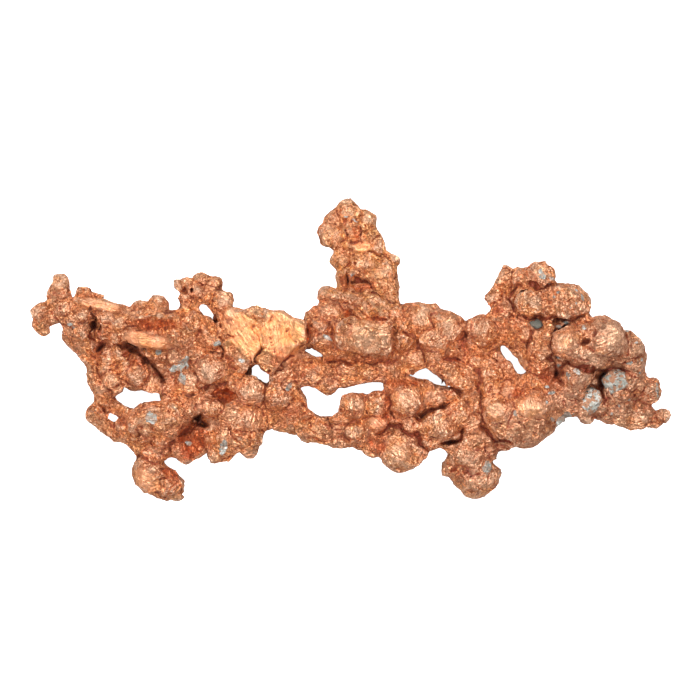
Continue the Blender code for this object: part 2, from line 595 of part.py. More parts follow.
CLUMPS = (
    LEFT_FINGER,
    LEFT_INNER,
    UPPER_LEFT,
    HEAD_CLUSTER,
    WING_LUMPS,
    CENTRE_LEFT,
    FLIPPER,
    DROP_LOBE,
    LOWER_LEFT,
    BEAM_LUMPS,
    LOWER_STRAND_LUMPS,
    LOWER_CENTRE,
    TOWER,
    CENTRE_NECK,
    RIGHT_CENTRE,
    LOWER_RIGHT_CENTRE,
    FOOT,
    LOWER_BULB,
    UPPER_HEAD,
    RIGHT_CLUSTER,
    TAIL,
)
STRANDS = (
    LEFT_STRANDS,
    UPPER_LEFT_LEDGES,
    HEAD_STEMS,
    BEAM,
    LOWER_STRAND,
    LOWER_CENTRE_STRANDS,
    TOWER_STRANDS,
    CENTRE_LEDGES,
    RIGHT_CENTRE_STRANDS,
    RIGHT_BRIDGE,
    SAUSAGE,
)
SLABS = (WING, CENTRE_BLOCK, LOWER_FLAP)

ROCKS = {
    "rock_wedge": Lump(23.2, 3.3, 8.2, 1.5, 1.1, 1.5, 20),
    "rock_flank": Lump(33.3, -3.9, 8.6, 1.7, 1.5, 1.7, 15),
    "rock_chip": Lump(30.0, -6.2, 7.7, 1.5, 1.6, 1.6, 40),
}


# Hollows pressed into the upper side: x, y, half width, half length, turn and depth.
HOLLOWS = (
    (-15.9, -5.8, 1.9, 1.1, 0, 2.0),
    (-24.2, 2.9, 2.6, 0.8, 0, 1.3),
    (-0.3, 4.6, 0.9, 0.8, 0, 1.5),
    (3.6, 4.2, 1.0, 0.8, 0, 1.6),
    (1.5, 13.2, 1.6, 1.1, 0, 1.3),
    (-0.3, 8.5, 0.7, 1.4, 0, 2.4),
    (2.1, 7.7, 1.2, 0.7, -50, 1.6),
    (29.1, 1.0, 0.7, 0.7, 0, 1.6),
    (31.4, -3.5, 1.2, 0.9, 0, 2.2),
    (26.0, -3.0, 0.9, 1.2, 0, 1.4),
    (17.5, -4.9, 0.8, 0.8, 0, 1.2),
    (-20.8, 7.1, 0.6, 0.6, 0, 1.0),
    (-19.5, 7.5, 0.6, 0.6, 0, 0.9),
)

# Crevices pressed into the upper side: half width, depth, and the points that each runs through.
CREVICES = (
    (0.9, 1.2, ((-31.8, 4.4), (-32.0, 1.9), (-31.0, -1.0))),
    (0.9, 1.5, ((-29.3, 0.5), (-28.0, 0.6), (-27.0, -0.8), (-24.7, -2.0), (-24.0, -3.2), (-23.5, -4.4))),
    (0.6, 1.0, ((-17.3, -0.1), (-15.6, -0.8))),
    (0.5, 1.4, ((-11.0, 0.5), (-11.6, -1.3))),
    (0.6, 1.2, ((-16.1, 3.2), (-16.3, 0.2), (-15.1, -2.2))),
    (0.7, 1.2, ((-19.4, -1.4), (-19.0, -4.3), (-16.8, -4.8), (-15.2, -3.6))),
    (0.9, 2.0, ((-18.5, -8.4), (-19.5, -9.5), (-18.4, -10.6))),
    (0.6, 1.2, ((-10.7, -4.7), (-10.6, -6.6))),
    (0.6, 1.0, ((-15.0, -10.0), (-13.9, -12.0))),
    (0.7, 1.5, ((-2.9, -1.4), (1.0, -1.6), (5.0, -1.6))),
    (0.6, 1.8, ((5.8, 4.0), (5.7, 0.2), (6.0, -1.2))),
    (0.5, 0.8, ((-2.0, 3.8), (-2.2, 0.4))),
    (0.6, 0.9, ((-0.6, 12.2), (1.4, 12.0), (4.2, 11.8))),
    (0.5, 0.8, ((-0.9, 14.9), (0.4, 16.3), (1.0, 15.8))),
    (0.6, 1.1, ((10.4, 5.2), (10.2, 3.2), (11.2, 2.0))),
    (0.8, 1.6, ((14.1, 4.0), (14.3, 2.0), (13.2, 0.6))),
    (0.6, 1.1, ((8.7, 0.9), (9.1, -0.6), (9.3, -1.8))),
    (0.5, 1.0, ((7.9, -0.2), (7.6, 1.8), (7.2, 2.4))),
    (0.7, 1.4, ((12.0, -1.2), (14.2, -1.6), (15.2, -2.9))),
    (0.7, 1.4, ((16.1, -3.4), (16.2, -5.2), (16.6, -7.6), (16.5, -9.0))),
    (0.9, 2.0, ((8.0, -8.4), (9.5, -7.4), (12.0, -7.0))),
    (0.6, 1.2, ((5.1, -5.4), (4.9, -7.6), (5.9, -8.5))),
    (0.5, 1.0, ((2.2, -8.3), (4.4, -8.2))),
    (0.8, 1.8, ((4.0, -10.4), (6.0, -9.9), (8.4, -10.7), (9.8, -12.4))),
    (0.8, 1.6, ((12.6, -11.0), (13.8, -10.0), (14.7, -8.6))),
    (0.6, 1.0, ((12.8, -12.8), (14.5, -12.0), (16.4, -12.3), (17.4, -13.6))),
    (0.6, 1.1, ((20.4, -5.8), (20.4, -8.2), (18.6, -9.0), (17.2, -8.8))),
    (0.6, 0.8, ((20.8, -8.8), (24.0, -8.9))),
    (0.9, 1.9, ((20.3, 5.4), (20.6, 4.2), (24.5, 4.1), (27.0, 3.9), (29.0, 3.9))),
    (0.7, 1.6, ((21.0, 7.6), (23.5, 7.8), (25.6, 8.4))),
    (0.5, 1.0, ((18.0, 7.6), (19.8, 7.4), (20.2, 9.2))),
    (0.8, 1.9, ((25.3, 2.9), (25.1, 0.2), (25.6, -2.0), (26.8, -3.6))),
    (0.6, 1.2, ((22.1, 2.4), (22.0, 0.2), (22.4, -1.6))),
    (0.6, 1.0, ((29.5, 3.4), (29.4, 1.8))),
    (0.9, 2.2, ((27.6, -2.0), (30.2, -2.9), (33.0, -2.2), (34.8, -2.4))),
    (0.7, 1.8, ((29.6, -4.4), (31.4, -4.7), (32.2, -6.2))),
    (0.6, 0.9, ((34.0, 1.8), (34.3, -0.8))),
    (0.5, 0.9, ((-26.6, -11.9), (-24.8, -11.6), (-22.9, -12.2))),
    (0.6, 0.8, ((-26.6, -13.4), (-23.6, -13.8))),
    (0.6, 1.0, ((-2.6, -9.5), (-0.2, -9.3), (1.4, -9.0))),
    (0.6, 1.0, ((-9.2, -3.9), (-7.0, -1.7), (-5.8, -0.7))),
)


# --- Helpers ----------------------------------------------------------------------------------------------


def clear_scene():
    """Remove every object that the file opened with."""
    for obj in list(bpy.data.objects):
        bpy.data.objects.remove(obj, do_unlink=True)


def collection(name, hidden=False):
    """A new collection in the scene, hidden from renders where it holds helpers."""
    group = bpy.data.collections.new(name)
    group.hide_render = hidden
    bpy.context.scene.collection.children.link(group)
    return group


def material(name):
    """A Principled material with the named finish."""
    colour, roughness, metallic = COLOURS[name]
    finish = bpy.data.materials.new(name)
    finish.use_nodes = True
    shader = finish.node_tree.nodes["Principled BSDF"]
    shader.inputs["Base Color"].default_value = colour
    shader.inputs["Roughness"].default_value = roughness
    shader.inputs["Metallic"].default_value = metallic
    return finish


def add_object(name, bm, group, finish=None):
    """A mesh object made from bm, which is in millimetres, in the given collection."""
    bmesh.ops.scale(bm, vec=(MM, MM, MM), verts=bm.verts)
    mesh = bpy.data.meshes.new(name)
    bm.to_mesh(mesh)
    bm.free()
    obj = bpy.data.objects.new(name, mesh)
    group.objects.link(obj)
    if finish:
        mesh.materials.append(finish)
    return obj


def evaluated_bmesh(obj):
    """The object's mesh with its modifiers done, as a bmesh."""
    graph = bpy.context.evaluated_depsgraph_get()
    bm = bmesh.new()
    bm.from_object(obj, graph)
    return bm


def ragged(verts, lump, facets):
    """Push a ball's corners in and out by this share of its radius, so that it has irregular facets."""
    reach = min(lump.rx, lump.ry or lump.rx, lump.rz or lump.rx)
    centre = Vector((lump.x, lump.y, lump.z))
    for vert in verts:
        away = (vert.co - centre).normalized()
        vert.co += away * (facets * reach * noise.noise(centre * 3.1 + away * 2.3))


def add_lump(bm, lump, grow=0.0, facets=FACET_DEPTH):
    """Add one swelling to bm."""
    ball = bmesh.ops.create_icosphere(bm, subdivisions=BALL_LEVELS, radius=1.0, matrix=lump.matrix(grow + FLAT_FILL))
    ragged(ball["verts"], lump, facets)


def add_slab(bm, slab):
    """Add one plate to bm: its outline filled and given its thickness, climbing as it says."""

    def height(x, y):
        return slab.z + slab.climb[0] * (x - slab.outline[0][0]) + slab.climb[1] * (y - slab.outline[0][1])

    half = slab.thickness / 2
    corners = [bm.verts.new((x, y, height(x, y) - half)) for x, y in slab.outline]
    bottom = bm.faces.new(corners)
    if bottom.normal.z > 0:
        bottom.normal_flip()
    grown = bmesh.ops.extrude_face_region(bm, geom=[bottom], use_keep_orig=True)
    top = [item for item in grown["geom"] if isinstance(item, bmesh.types.BMVert)]
    bmesh.ops.translate(bm, vec=(0.0, 0.0, slab.thickness), verts=top)
    rim = {edge for vert in top for edge in vert.link_edges}
    bmesh.ops.bevel(bm, geom=list(rim), offset=SLAB_BEVEL, segments=2, affect="EDGES")


def underside_knobs():
    """Small swellings over the lower sides of the big ones, inside the outline that is seen from above."""
    draw = Random(KNOB_SEED)
    knobs = []
    for clump in CLUMPS:
        for lump in clump:
            if min(lump.rx, lump.ry or lump.rx) < KNOB_FROM:
                continue
            for _ in range(KNOBS_EACH):
                round_turn, tip = draw.uniform(0, 2 * pi), radians(draw.uniform(25, 80))
                away = Vector((cos(tip) * cos(round_turn), cos(tip) * sin(round_turn), -sin(tip)))
                x, y, z = lump.matrix() @ (0.86 * away)
                size = lump.rx * draw.uniform(*KNOB_SHARE) * (0.5 + 0.5 * sin(tip))
                knobs.append(Lump(x, y, z, size))
    return knobs


def largest_shell(bm):
    """Keep only the outermost connected surface, so that no sealed cavity or loose crumb is left."""
    left = set(bm.verts)
    shells = []
    while left:
        stack = [left.pop()]
        shell = set(stack)
        while stack:
            for edge in stack.pop().link_edges:
                for vert in edge.verts:
                    if vert in left:
                        left.discard(vert)
                        shell.add(vert)
                        stack.append(vert)
        shells.append(shell)
    keep = max(shells, key=len)
    loose = [vert for vert in bm.verts if vert not in keep]
    bmesh.ops.delete(bm, geom=loose, context="VERTS")


def dent(depth, distance):
    """How far a point this far from a dent's middle, as a share of its half width, is pressed in."""
    return depth * (1.0 - distance * distance) ** 2 if distance < 1.0 else 0.0


def hollow_depth(place):
    """The deepest hollow or crevice over a place seen from above."""
    deepest = 0.0
    for x, y, wide, long, turn, depth in HOLLOWS:
        away = Matrix.Rotation(radians(-turn), 2) @ Vector((place.x - x, place.y - y))
        deepest = max(deepest, dent(depth, Vector((away.x / wide, away.y / long)).length))
    for half_width, depth, points in CREVICES:
        for start, end in zip(points, points[1:]):
            near, share = intersect_point_line(place, Vector(start), Vector(end))
            near = Vector(start).lerp(Vector(end), min(1.0, max(0.0, share)))
            deepest = max(deepest, dent(depth, (place.to_2d() - near).length / half_width))
    return deepest


def press_hollows(bm):
    """Press the hollows and crevices into the upper side, in millimetres."""
    bm.normal_update()
    for vert in bm.verts:
        if vert.normal.z > 0.1:
            vert.co.z -= hollow_depth(vert.co) * min(1.0, 1.6 * vert.normal.z)


def crumple(bm):
    """Raise ridges and sink pits all over, the way the metal is crumpled, in millimetres."""
    bm.normal_update()
    moved = []
    for vert in bm.verts:
        place = vert.co / RIDGE_SIZE
        ridges = 1.0 - 2.0 * abs(noise.noise(place))
        grit = noise.noise(place * 2.3 + Vector((7.0, 3.0, 5.0)))
        moved.append(vert.co + vert.normal * (RIDGE_DEPTH * (0.5 * ridges - 0.25 + 0.5 * grit)))
    for vert, co in zip(bm.verts, moved):
        vert.co = co


# --- The pieces -------------------------------------------------------------------------------------------


def fused_copper(helpers):
    """The limbs fused into one closed surface, in millimetres, as a bmesh."""
    raw = bmesh.new()
    for clump in CLUMPS:
        for lump in clump:
            add_lump(raw, lump)
    for strands in STRANDS:
        for strand in strands:
            for lump in strand.lumps():
                add_lump(raw, lump)
    for knob in underside_knobs():
        add_lump(raw, knob)
    for slabs in SLABS:
        for slab in slabs:
            add_slab(raw, slab)
    bmesh.ops.recalc_face_normals(raw, faces=raw.faces)
    limbs = add_object("limbs", raw, helpers)
    limbs.display_type = "WIRE"
    limbs.hide_render = True
    fuse = limbs.modifiers.new("fuse", "REMESH")
    fuse.mode = "VOXEL"
    fuse.voxel_size = VOXEL * MM
    fused = evaluated_bmesh(limbs)
    bmesh.ops.scale(fused, vec=(1 / MM, 1 / MM, 1 / MM), verts=fused.verts)
    return fused


def make_nugget(group, helpers, finish):
    """The copper itself: one solid, thinned to facets, trimmed flat where it rests, with pockets for the rock."""
    bm = fused_copper(helpers)
    largest_shell(bm)
    press_hollows(bm)
    crumple(bm)
    bmesh.ops.triangulate(bm, faces=bm.faces)
    share = TRIANGLES / len(bm.faces)
    nugget = add_object("nugget", bm, group, finish)
    thin = nugget.modifiers.new("thin", "DECIMATE")
    thin.ratio = share
    for name, rock in ROCKS.items():
        pocket = bmesh.new()
        add_lump(pocket, rock, ROCK_GAP, ROCK_FACETS)
        add_cut(nugget, add_object(name + "_pocket", pocket, helpers))
    floor = bmesh.new()
    wide, deep, high = FLOOR_BOX
    place = Matrix.Translation((0.0, 0.0, TRIM - high / 2)) @ Matrix.Diagonal((wide, deep, high, 1.0))
    bmesh.ops.create_cube(floor, size=1.0, matrix=place)
    add_cut(nugget, add_object("floor_block", floor, helpers))
    return nugget


def add_cut(obj, cutter):
    """Cut cutter's shape out of obj."""
    cutter.display_type = "WIRE"
    cutter.hide_render = True
    cut = obj.modifiers.new(cutter.name, "BOOLEAN")
    cut.operation = "DIFFERENCE"
    cut.object = cutter


def make_rocks(group, finish):
    """The bits of host rock, each in its pocket."""
    for name, rock in ROCKS.items():
        bm = bmesh.new()
        add_lump(bm, rock, facets=ROCK_FACETS)
        add_object(name, bm, group, finish)


def stand_on_origin(nugget):
    """Move every object alike, so that the nugget's box stands centred on the origin."""
    evaluated = nugget.evaluated_get(bpy.context.evaluated_depsgraph_get())
    corners = [Vector(corner) for corner in evaluated.bound_box]
    low, high = (Vector(side(axis) for axis in zip(*corners)) for side in (min, max))
    shift = Vector(((low.x + high.x) / 2, (low.y + high.y) / 2, low.z))
    for obj in bpy.data.objects:
        obj.location -= shift


def main():
    clear_scene()
    parts = collection("native_copper_nugget")
    helpers = collection("cutters", hidden=True)
    nugget = make_nugget(parts, helpers, material("copper"))
    make_rocks(parts, material("rock"))
    stand_on_origin(nugget)


main()
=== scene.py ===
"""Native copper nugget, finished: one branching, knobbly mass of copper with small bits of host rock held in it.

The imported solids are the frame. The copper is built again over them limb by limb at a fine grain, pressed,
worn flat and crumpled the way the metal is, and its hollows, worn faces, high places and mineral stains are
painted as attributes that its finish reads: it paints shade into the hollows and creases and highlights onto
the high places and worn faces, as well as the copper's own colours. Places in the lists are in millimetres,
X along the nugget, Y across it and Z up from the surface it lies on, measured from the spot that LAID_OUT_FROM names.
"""

import logging
import math
import random
from collections.abc import Iterable, Sequence
from dataclasses import dataclass, field
from enum import Enum
from typing import Any

import bpy
import numpy as np
from mathutils import Euler, Matrix, Vector, noise
from mathutils.bvhtree import BVHTree
from mathutils.kdtree import KDTree

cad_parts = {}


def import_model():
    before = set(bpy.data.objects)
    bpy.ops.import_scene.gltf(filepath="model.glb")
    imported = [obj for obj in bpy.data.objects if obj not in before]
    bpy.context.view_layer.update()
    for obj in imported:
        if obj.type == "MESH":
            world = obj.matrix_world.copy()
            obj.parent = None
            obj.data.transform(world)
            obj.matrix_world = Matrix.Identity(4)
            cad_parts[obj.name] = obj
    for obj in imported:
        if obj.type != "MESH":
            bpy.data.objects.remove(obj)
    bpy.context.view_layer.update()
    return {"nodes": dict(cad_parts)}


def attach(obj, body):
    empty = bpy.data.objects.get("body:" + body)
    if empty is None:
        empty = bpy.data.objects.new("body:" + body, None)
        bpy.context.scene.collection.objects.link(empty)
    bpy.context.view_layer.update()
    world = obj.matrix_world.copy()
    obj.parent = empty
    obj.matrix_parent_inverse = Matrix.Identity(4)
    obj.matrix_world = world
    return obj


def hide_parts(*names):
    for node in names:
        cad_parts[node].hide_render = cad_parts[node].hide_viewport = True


log = logging.getLogger("nugget")

MM = 0.001
LAID_OUT_FROM = Vector((0.13, 0.028, 0.2))  # the origin of the frame, as the lists below measure it
BODY = "root"

Row = tuple[float, ...]


# --- What the lists hold ----------------------------------------------------------------------------------


@dataclass(frozen=True)
class Plate:
    """A flat limb: its outline, the height of its middle, its thickness, and how much it climbs along X and Y."""

    outline: tuple[tuple[float, float], ...]
    height: float
    thickness: float
    climb: tuple[float, float]


@dataclass(frozen=True)
class Limb:
    """One limb of the nugget.

    Each nodule is (x, y, z, rx, ry, rz, turn), where the last three may be left out, and each strand is
    the points (x, y, z, radius) that it runs through.
    """

    name: str
    nodules: tuple[Row, ...] = ()
    strands: tuple[tuple[Row, ...], ...] = ()
    plates: tuple[Plate, ...] = ()


class Stroke(Enum):
    """What a line drawn over the surface does to it."""

    # Both kinds that are pressed in paint the seam mask, which the finish darkens as patina and painted shade alike, a
    # SEAM as much as a CREASE.
    CREASE = "pressed in, with dark oxide at its bottom"
    SEAM = "pressed in, but clean"
    RIDGE = "raised"


@dataclass(frozen=True)
class Line:
    """A line drawn over the upper side: its half width, its depth or height, and the points that it runs through."""

    kind: Stroke
    half_width: float
    depth: float
    points: tuple[tuple[float, float], ...]


@dataclass(frozen=True)
class Flat:
    """A worn flat on the upper side: its middle, its radius, how many degrees it leans and which way, and its polish."""

    x: float
    y: float
    radius: float
    lean: float = 0.0
    way: float = 0.0
    polish: float = 1.0


@dataclass(frozen=True)
class Stain:
    """A patch on the surface as seen from above: its middle, half sizes, turn in degrees and strength."""

    x: float
    y: float
    rx: float
    ry: float
    turn: float = 0.0
    strength: float = 1.0


# --- The limbs, from left to right ------------------------------------------------------------------------

LEFT_FINGER = Limb(
    "left_finger",
    nodules=(
        (-36.3, 8.3, 6.8, 1.15), (-37.2, 7.1, 6.5, 0.9), (-35.8, 7.1, 6.6, 0.8), (-36.8, 6.2, 6.5, 1.1),
        (-38.8, 4.7, 6.3, 1.05, 1.35, 1.2), (-38.8, 3.1, 6.2, 1.0, 0.9, 1.1), (-38.2, 2.5, 6.1, 0.7),
        (-37.2, 4.3, 6.4, 1.0, 1.1, 1.1), (-36.2, 5.0, 6.6, 1.3, 1.3, 1.4), (-34.6, 5.0, 6.9, 1.4, 1.4, 1.6),
        (-33.0, 4.9, 6.9, 1.4, 1.3, 1.6), (-31.2, 4.8, 6.9, 1.3, 1.3, 1.7), (-29.6, 4.4, 7.0, 1.4, 1.4, 1.9),
        (-33.2, 7.2, 7.2, 0.95), (-32.4, 6.8, 7.1, 0.8), (-31.4, 6.7, 7.0, 0.7), (-34.5, 3.9, 7.7, 1.1),
        (-33.3, 4.5, 8.2, 0.9), (-33.6, 2.3, 6.9, 1.1, 1.0, 1.3), (-35.0, 2.6, 6.3, 1.0, 1.2, 1.1),
        (-32.0, 1.5, 5.4, 1.7, 2.6, 1.3), (-30.3, 4.0, 8.5, 1.2), (-28.8, 3.4, 8.9, 1.1),
        (-30.6, 2.2, 6.9, 0.9, 1.0, 1.2), (-29.0, 2.0, 7.4, 1.2), (-28.6, -0.3, 6.9, 0.9), (-30.0, -1.2, 6.5, 0.9),
        (-30.4, -2.5, 6.2, 1.0), (-28.2, -1.9, 6.5, 1.1), (-26.7, -2.8, 6.8, 1.5, 1.4, 1.8),
        (-29.7, -3.8, 5.9, 1.2), (-30.6, -4.8, 5.6, 1.1), (-29.3, -4.8, 5.9, 0.85), (-28.0, -3.6, 6.3, 1.1),
        (-26.7, -4.1, 6.6, 1.1), (-24.7, -4.2, 7.0, 1.35), (-27.0, -1.2, 5.6, 2.2, 1.8, 2.2),
    ),
    strands=(
        (
            (-34.6, 3.2, 6.4, 1.1), (-34.9, 1.7, 6.0, 1.0), (-33.4, -0.1, 5.6, 0.9), (-32.2, -1.9, 5.2, 1.0),
            (-31.7, -4.0, 4.9, 1.05), (-30.9, -5.6, 4.8, 1.0), (-30.2, -6.6, 4.9, 0.95), (-29.0, -7.6, 5.4, 0.8),
            (-27.4, -8.3, 6.5, 1.0),
        ),
        (
            (-32.1, -7.9, 4.4, 1.0), (-31.6, -8.8, 4.4, 0.85), (-30.2, -9.9, 4.5, 0.8), (-29.0, -10.6, 4.8, 0.95),
            (-27.8, -10.9, 5.4, 0.9), (-26.4, -10.6, 6.4, 1.0),
        ),
        (
            (-31.0, -6.8, 4.7, 0.8), (-31.8, -7.6, 4.5, 0.8),
        ),
        (
            (-28.9, -10.6, 4.9, 0.8), (-27.8, -11.0, 5.0, 0.7), (-26.2, -12.1, 5.2, 1.0),
        ),
        (
            (-28.6, 2.0, 6.5, 1.1), (-29.8, -0.4, 5.9, 1.1), (-30.8, -2.4, 5.4, 1.0),
        ),
    ),
)

UPPER_LEFT = Limb(
    "upper_left",
    nodules=(
        (-26.4, 2.2, 5.7, 3.6, 2.9, 3.2), (-21.5, 1.9, 5.5, 4.2, 3.0, 3.3), (-18.2, 0.4, 5.4, 3.4, 2.9, 3.1),
        (-22.6, -1.6, 5.4, 3.8, 2.6, 2.8), (-27.3, 4.2, 8.3, 1.3, 1.2, 1.4), (-26.1, 5.2, 8.0, 0.95),
        (-23.8, 5.6, 8.2, 1.25), (-22.3, 4.5, 7.8, 0.6), (-24.9, 4.3, 8.2, 1.2), (-21.3, 3.9, 7.6, 1.4, 1.2, 1.6),
        (-24.2, -0.4, 8.7, 1.5, 1.1, 1.1, -15), (-21.4, -0.8, 8.9, 1.5, 1.2, 1.3),
        (-19.2, -0.6, 8.7, 1.2, 1.1, 1.2), (-17.6, 1.5, 8.6, 1.6, 1.3, 1.5), (-15.7, 2.6, 8.6, 1.1, 1.3, 1.6),
        (-24.0, 1.0, 2.8, 2.6, 2.1, 2.9), (-19.6, -0.8, 3.4, 2.0, 1.9, 2.6), (-27.6, 2.6, 4.4, 1.8, 1.6, 2.0),
    ),
    strands=(
        (
            (-28.0, 3.9, 9.3, 0.8), (-26.0, 4.1, 9.9, 0.85), (-24.0, 3.9, 10.1, 0.8), (-21.8, 3.7, 9.6, 0.75),
        ),
        (
            (-27.7, 1.9, 9.4, 1.0), (-26.0, 1.5, 10.2, 1.1), (-24.0, 1.1, 10.3, 1.0), (-21.6, 1.6, 9.9, 1.1),
        ),
        (
            (-20.6, 1.8, 9.7, 1.1), (-19.8, 3.2, 9.5, 1.2), (-19.6, 4.2, 8.6, 0.8),
        ),
    ),
)

HEAD_CLUSTER = Limb(
    "head_cluster",
    nodules=(
        (-21.5, 8.1, 6.6, 0.75), (-20.4, 8.0, 6.8, 1.05), (-18.6, 8.8, 6.8, 1.05, 1.0, 1.2),
        (-17.1, 8.3, 6.9, 1.05), (-19.2, 7.4, 7.4, 1.2, 1.0, 1.5), (-17.5, 7.0, 7.5, 1.1), (-20.6, 6.8, 7.0, 0.85),
        (-19.4, 6.3, 6.9, 1.0), (-17.6, 6.4, 7.0, 0.9), (-18.6, 3.1, 7.4, 1.1), (-15.8, 6.3, 8.0, 1.25),
    ),
    strands=(
        (
            (-20.1, 6.6, 6.9, 1.0), (-20.1, 5.2, 7.0, 1.05), (-20.4, 3.8, 7.2, 1.3),
        ),
        (
            (-16.6, 5.7, 7.6, 0.9), (-16.2, 4.7, 7.4, 0.7), (-15.8, 2.9, 7.3, 0.75),
        ),
        (
            (-17.2, 6.9, 7.2, 0.9), (-16.1, 6.6, 7.6, 0.8),
        ),
    ),
)

WING = Limb(
    "wing",
    nodules=(
        (-12.3, 1.4, 8.2, 3.6, 3.2, 2.6, -30), (-8.5, 1.8, 8.2, 3.0, 2.4, 2.2),
        (-10.4, -1.2, 9.6, 1.2, 1.6, 1.6, 30), (-13.7, -1.5, 9.8, 1.3, 1.4, 1.7), (-6.3, 2.3, 10.0, 1.3, 1.3, 1.8),
        (-14.6, 4.2, 9.2, 1.2, 1.2, 1.4), (-11.6, 4.2, 9.6, 1.6, 1.4, 1.7), (-8.6, -1.4, 8.4, 1.2, 1.2, 1.8),
        (-12.2, 0.6, 5.0, 3.0, 2.6, 2.6),
    ),
    plates=(
        Plate(
            (
                (-15.6, 4.7), (-14.8, 5.4), (-13.8, 4.9), (-11.6, 5.5), (-9.9, 4.95), (-8.4, 4.95), (-6.9, 4.0),
                (-5.3, 3.4), (-5.1, 1.0), (-6.5, 0.6), (-7.6, -0.5), (-8.8, -1.9), (-9.8, -3.2), (-10.9, -2.4),
                (-11.6, -1.4), (-12.4, -2.0), (-13.2, -2.7), (-14.4, -2.7), (-15.6, -1.2), (-15.9, 2.0),
            ),
            10.2,
            2.8,
            (0.12, 0.10),
        ),
    ),
)

CENTRE_LEFT = Limb(
    "centre_left",
    nodules=(
        (-16.2, -2.9, 5.4, 4.0, 2.9, 2.9), (-11.0, -5.9, 5.8, 4.2, 1.8, 2.4, 5),
        (-17.4, -2.6, 9.4, 2.0, 1.7, 1.8, -20), (-19.8, -3.8, 7.6, 1.7, 1.5, 1.7),
        (-22.6, -4.5, 6.6, 1.7, 1.3, 1.8), (-12.5, -5.0, 9.3, 1.8, 1.35, 1.7, 10),
        (-9.0, -5.8, 8.3, 1.6, 1.5, 1.6), (-8.0, -3.0, 8.3, 1.15), (-7.6, -4.6, 7.4, 1.2), (-14.3, -4.0, 8.2, 1.2),
        (-6.9, -0.7, 7.8, 1.0), (-6.3, 0.4, 8.0, 0.8), (-5.4, -1.2, 7.4, 0.8), (-9.3, -3.7, 7.4, 0.8),
        (-12.2, -4.2, 8.4, 1.0), (-6.4, -6.9, 7.0, 1.2), (-9.0, -6.8, 6.6, 1.4, 1.0, 1.4),
        (-19.4, -6.0, 6.2, 2.4, 1.8, 2.4), (-16.0, -6.4, 5.4, 2.6, 1.6, 2.2),
    ),
)

FLIPPER = Limb(
    "flipper",
    nodules=(
        (-20.0, -7.2, 7.4, 2.2, 2.0, 2.3), (-22.6, -8.2, 7.9, 2.6, 2.3, 2.4, -20),
        (-25.2, -8.8, 8.1, 2.2, 2.1, 2.1, -30), (-26.6, -9.2, 7.8, 1.3, 1.5, 1.6), (-28.2, -9.4, 6.3, 1.0),
        (-30.9, -8.2, 4.6, 0.6), (-24.9, -7.4, 8.2, 1.4, 1.2, 1.4), (-24.8, -8.0, 9.3, 1.2, 1.0, 1.0),
        (-22.0, -7.3, 9.4, 1.4, 0.9, 1.0, -15), (-25.6, -10.6, 7.2, 1.0), (-22.2, -10.2, 7.1, 1.2, 1.2, 1.4),
        (-23.9, -10.9, 6.2, 1.5, 1.4, 1.8), (-22.0, -11.4, 5.2, 1.1), (-26.4, -12.1, 5.3, 1.0),
        (-24.6, -12.6, 5.0, 1.4, 1.2, 1.6), (-23.3, -12.6, 4.7, 1.1, 1.2, 1.4),
        (-25.0, -15.6, 3.3, 2.25, 2.2, 3.4), (-25.5, -14.2, 3.8, 1.6, 1.5, 2.6),
        (-23.6, -17.8, 3.0, 1.1, 1.0, 2.0), (-24.9, -17.0, 3.0, 1.2, 1.1, 2.4), (-22.9, -16.9, 3.1, 1.9, 1.7, 3.0),
        (-21.6, -18.1, 2.8, 0.85, 0.85, 1.6), (-21.8, -16.8, 3.2, 1.1, 1.0, 1.9),
        (-23.5, -15.9, 5.2, 1.2, 1.0, 1.2), (-25.6, -16.1, 5.0, 1.0),
    ),
)

LOWER_LEFT = Limb(
    "lower_left",
    nodules=(
        (-14.2, -8.8, 5.0, 3.4, 2.2, 2.5), (-17.4, -7.0, 8.2, 1.5, 1.3, 1.5),
        (-13.1, -8.6, 8.0, 2.3, 1.9, 1.9, -15), (-12.4, -10.7, 7.0, 1.7, 1.5, 1.8),
        (-15.6, -10.6, 6.8, 1.5, 1.7, 1.9), (-11.4, -8.9, 6.6, 1.5, 1.4, 1.8), (-16.0, -12.2, 6.2, 1.5, 1.4, 1.7),
        (-17.0, -13.1, 5.9, 1.15, 1.05, 1.4), (-15.5, -13.3, 5.9, 0.85), (-14.3, -12.4, 6.0, 0.8),
        (-12.6, -12.6, 6.2, 1.15, 0.95, 1.4), (-12.2, -11.8, 6.4, 1.0), (-17.5, -9.2, 5.8, 1.2, 1.2, 1.6),
        (-20.0, -10.0, 5.0, 1.7, 1.6, 1.9), (-19.4, -12.2, 4.8, 1.5, 1.5, 1.8), (-21.2, -12.6, 4.7, 1.2, 1.4, 1.7),
        (-20.4, -13.1, 4.7, 1.1, 1.1, 1.5), (-17.8, -11.2, 4.9, 1.5, 1.3, 1.6),
    ),
)

BEAM = Limb(
    "beam",
    nodules=(
        (-2.7, -4.2, 7.4, 1.6, 1.4, 1.6), (-4.9, -3.0, 8.3, 1.0), (2.4, -2.9, 8.4, 1.2, 0.7, 0.7),
        (-0.4, -2.6, 8.2, 1.3, 0.9, 0.9),
    ),
    strands=(
        (
            (-8.2, -2.4, 7.2, 1.5), (-6.4, -2.7, 7.0, 1.7), (-4.8, -2.9, 6.9, 1.65), (-2.6, -3.3, 7.0, 1.9),
            (0.5, -2.9, 6.9, 1.5), (3.5, -2.4, 7.0, 1.6), (5.6, -2.0, 7.1, 1.6), (7.4, -1.3, 7.1, 1.5),
        ),
    ),
)

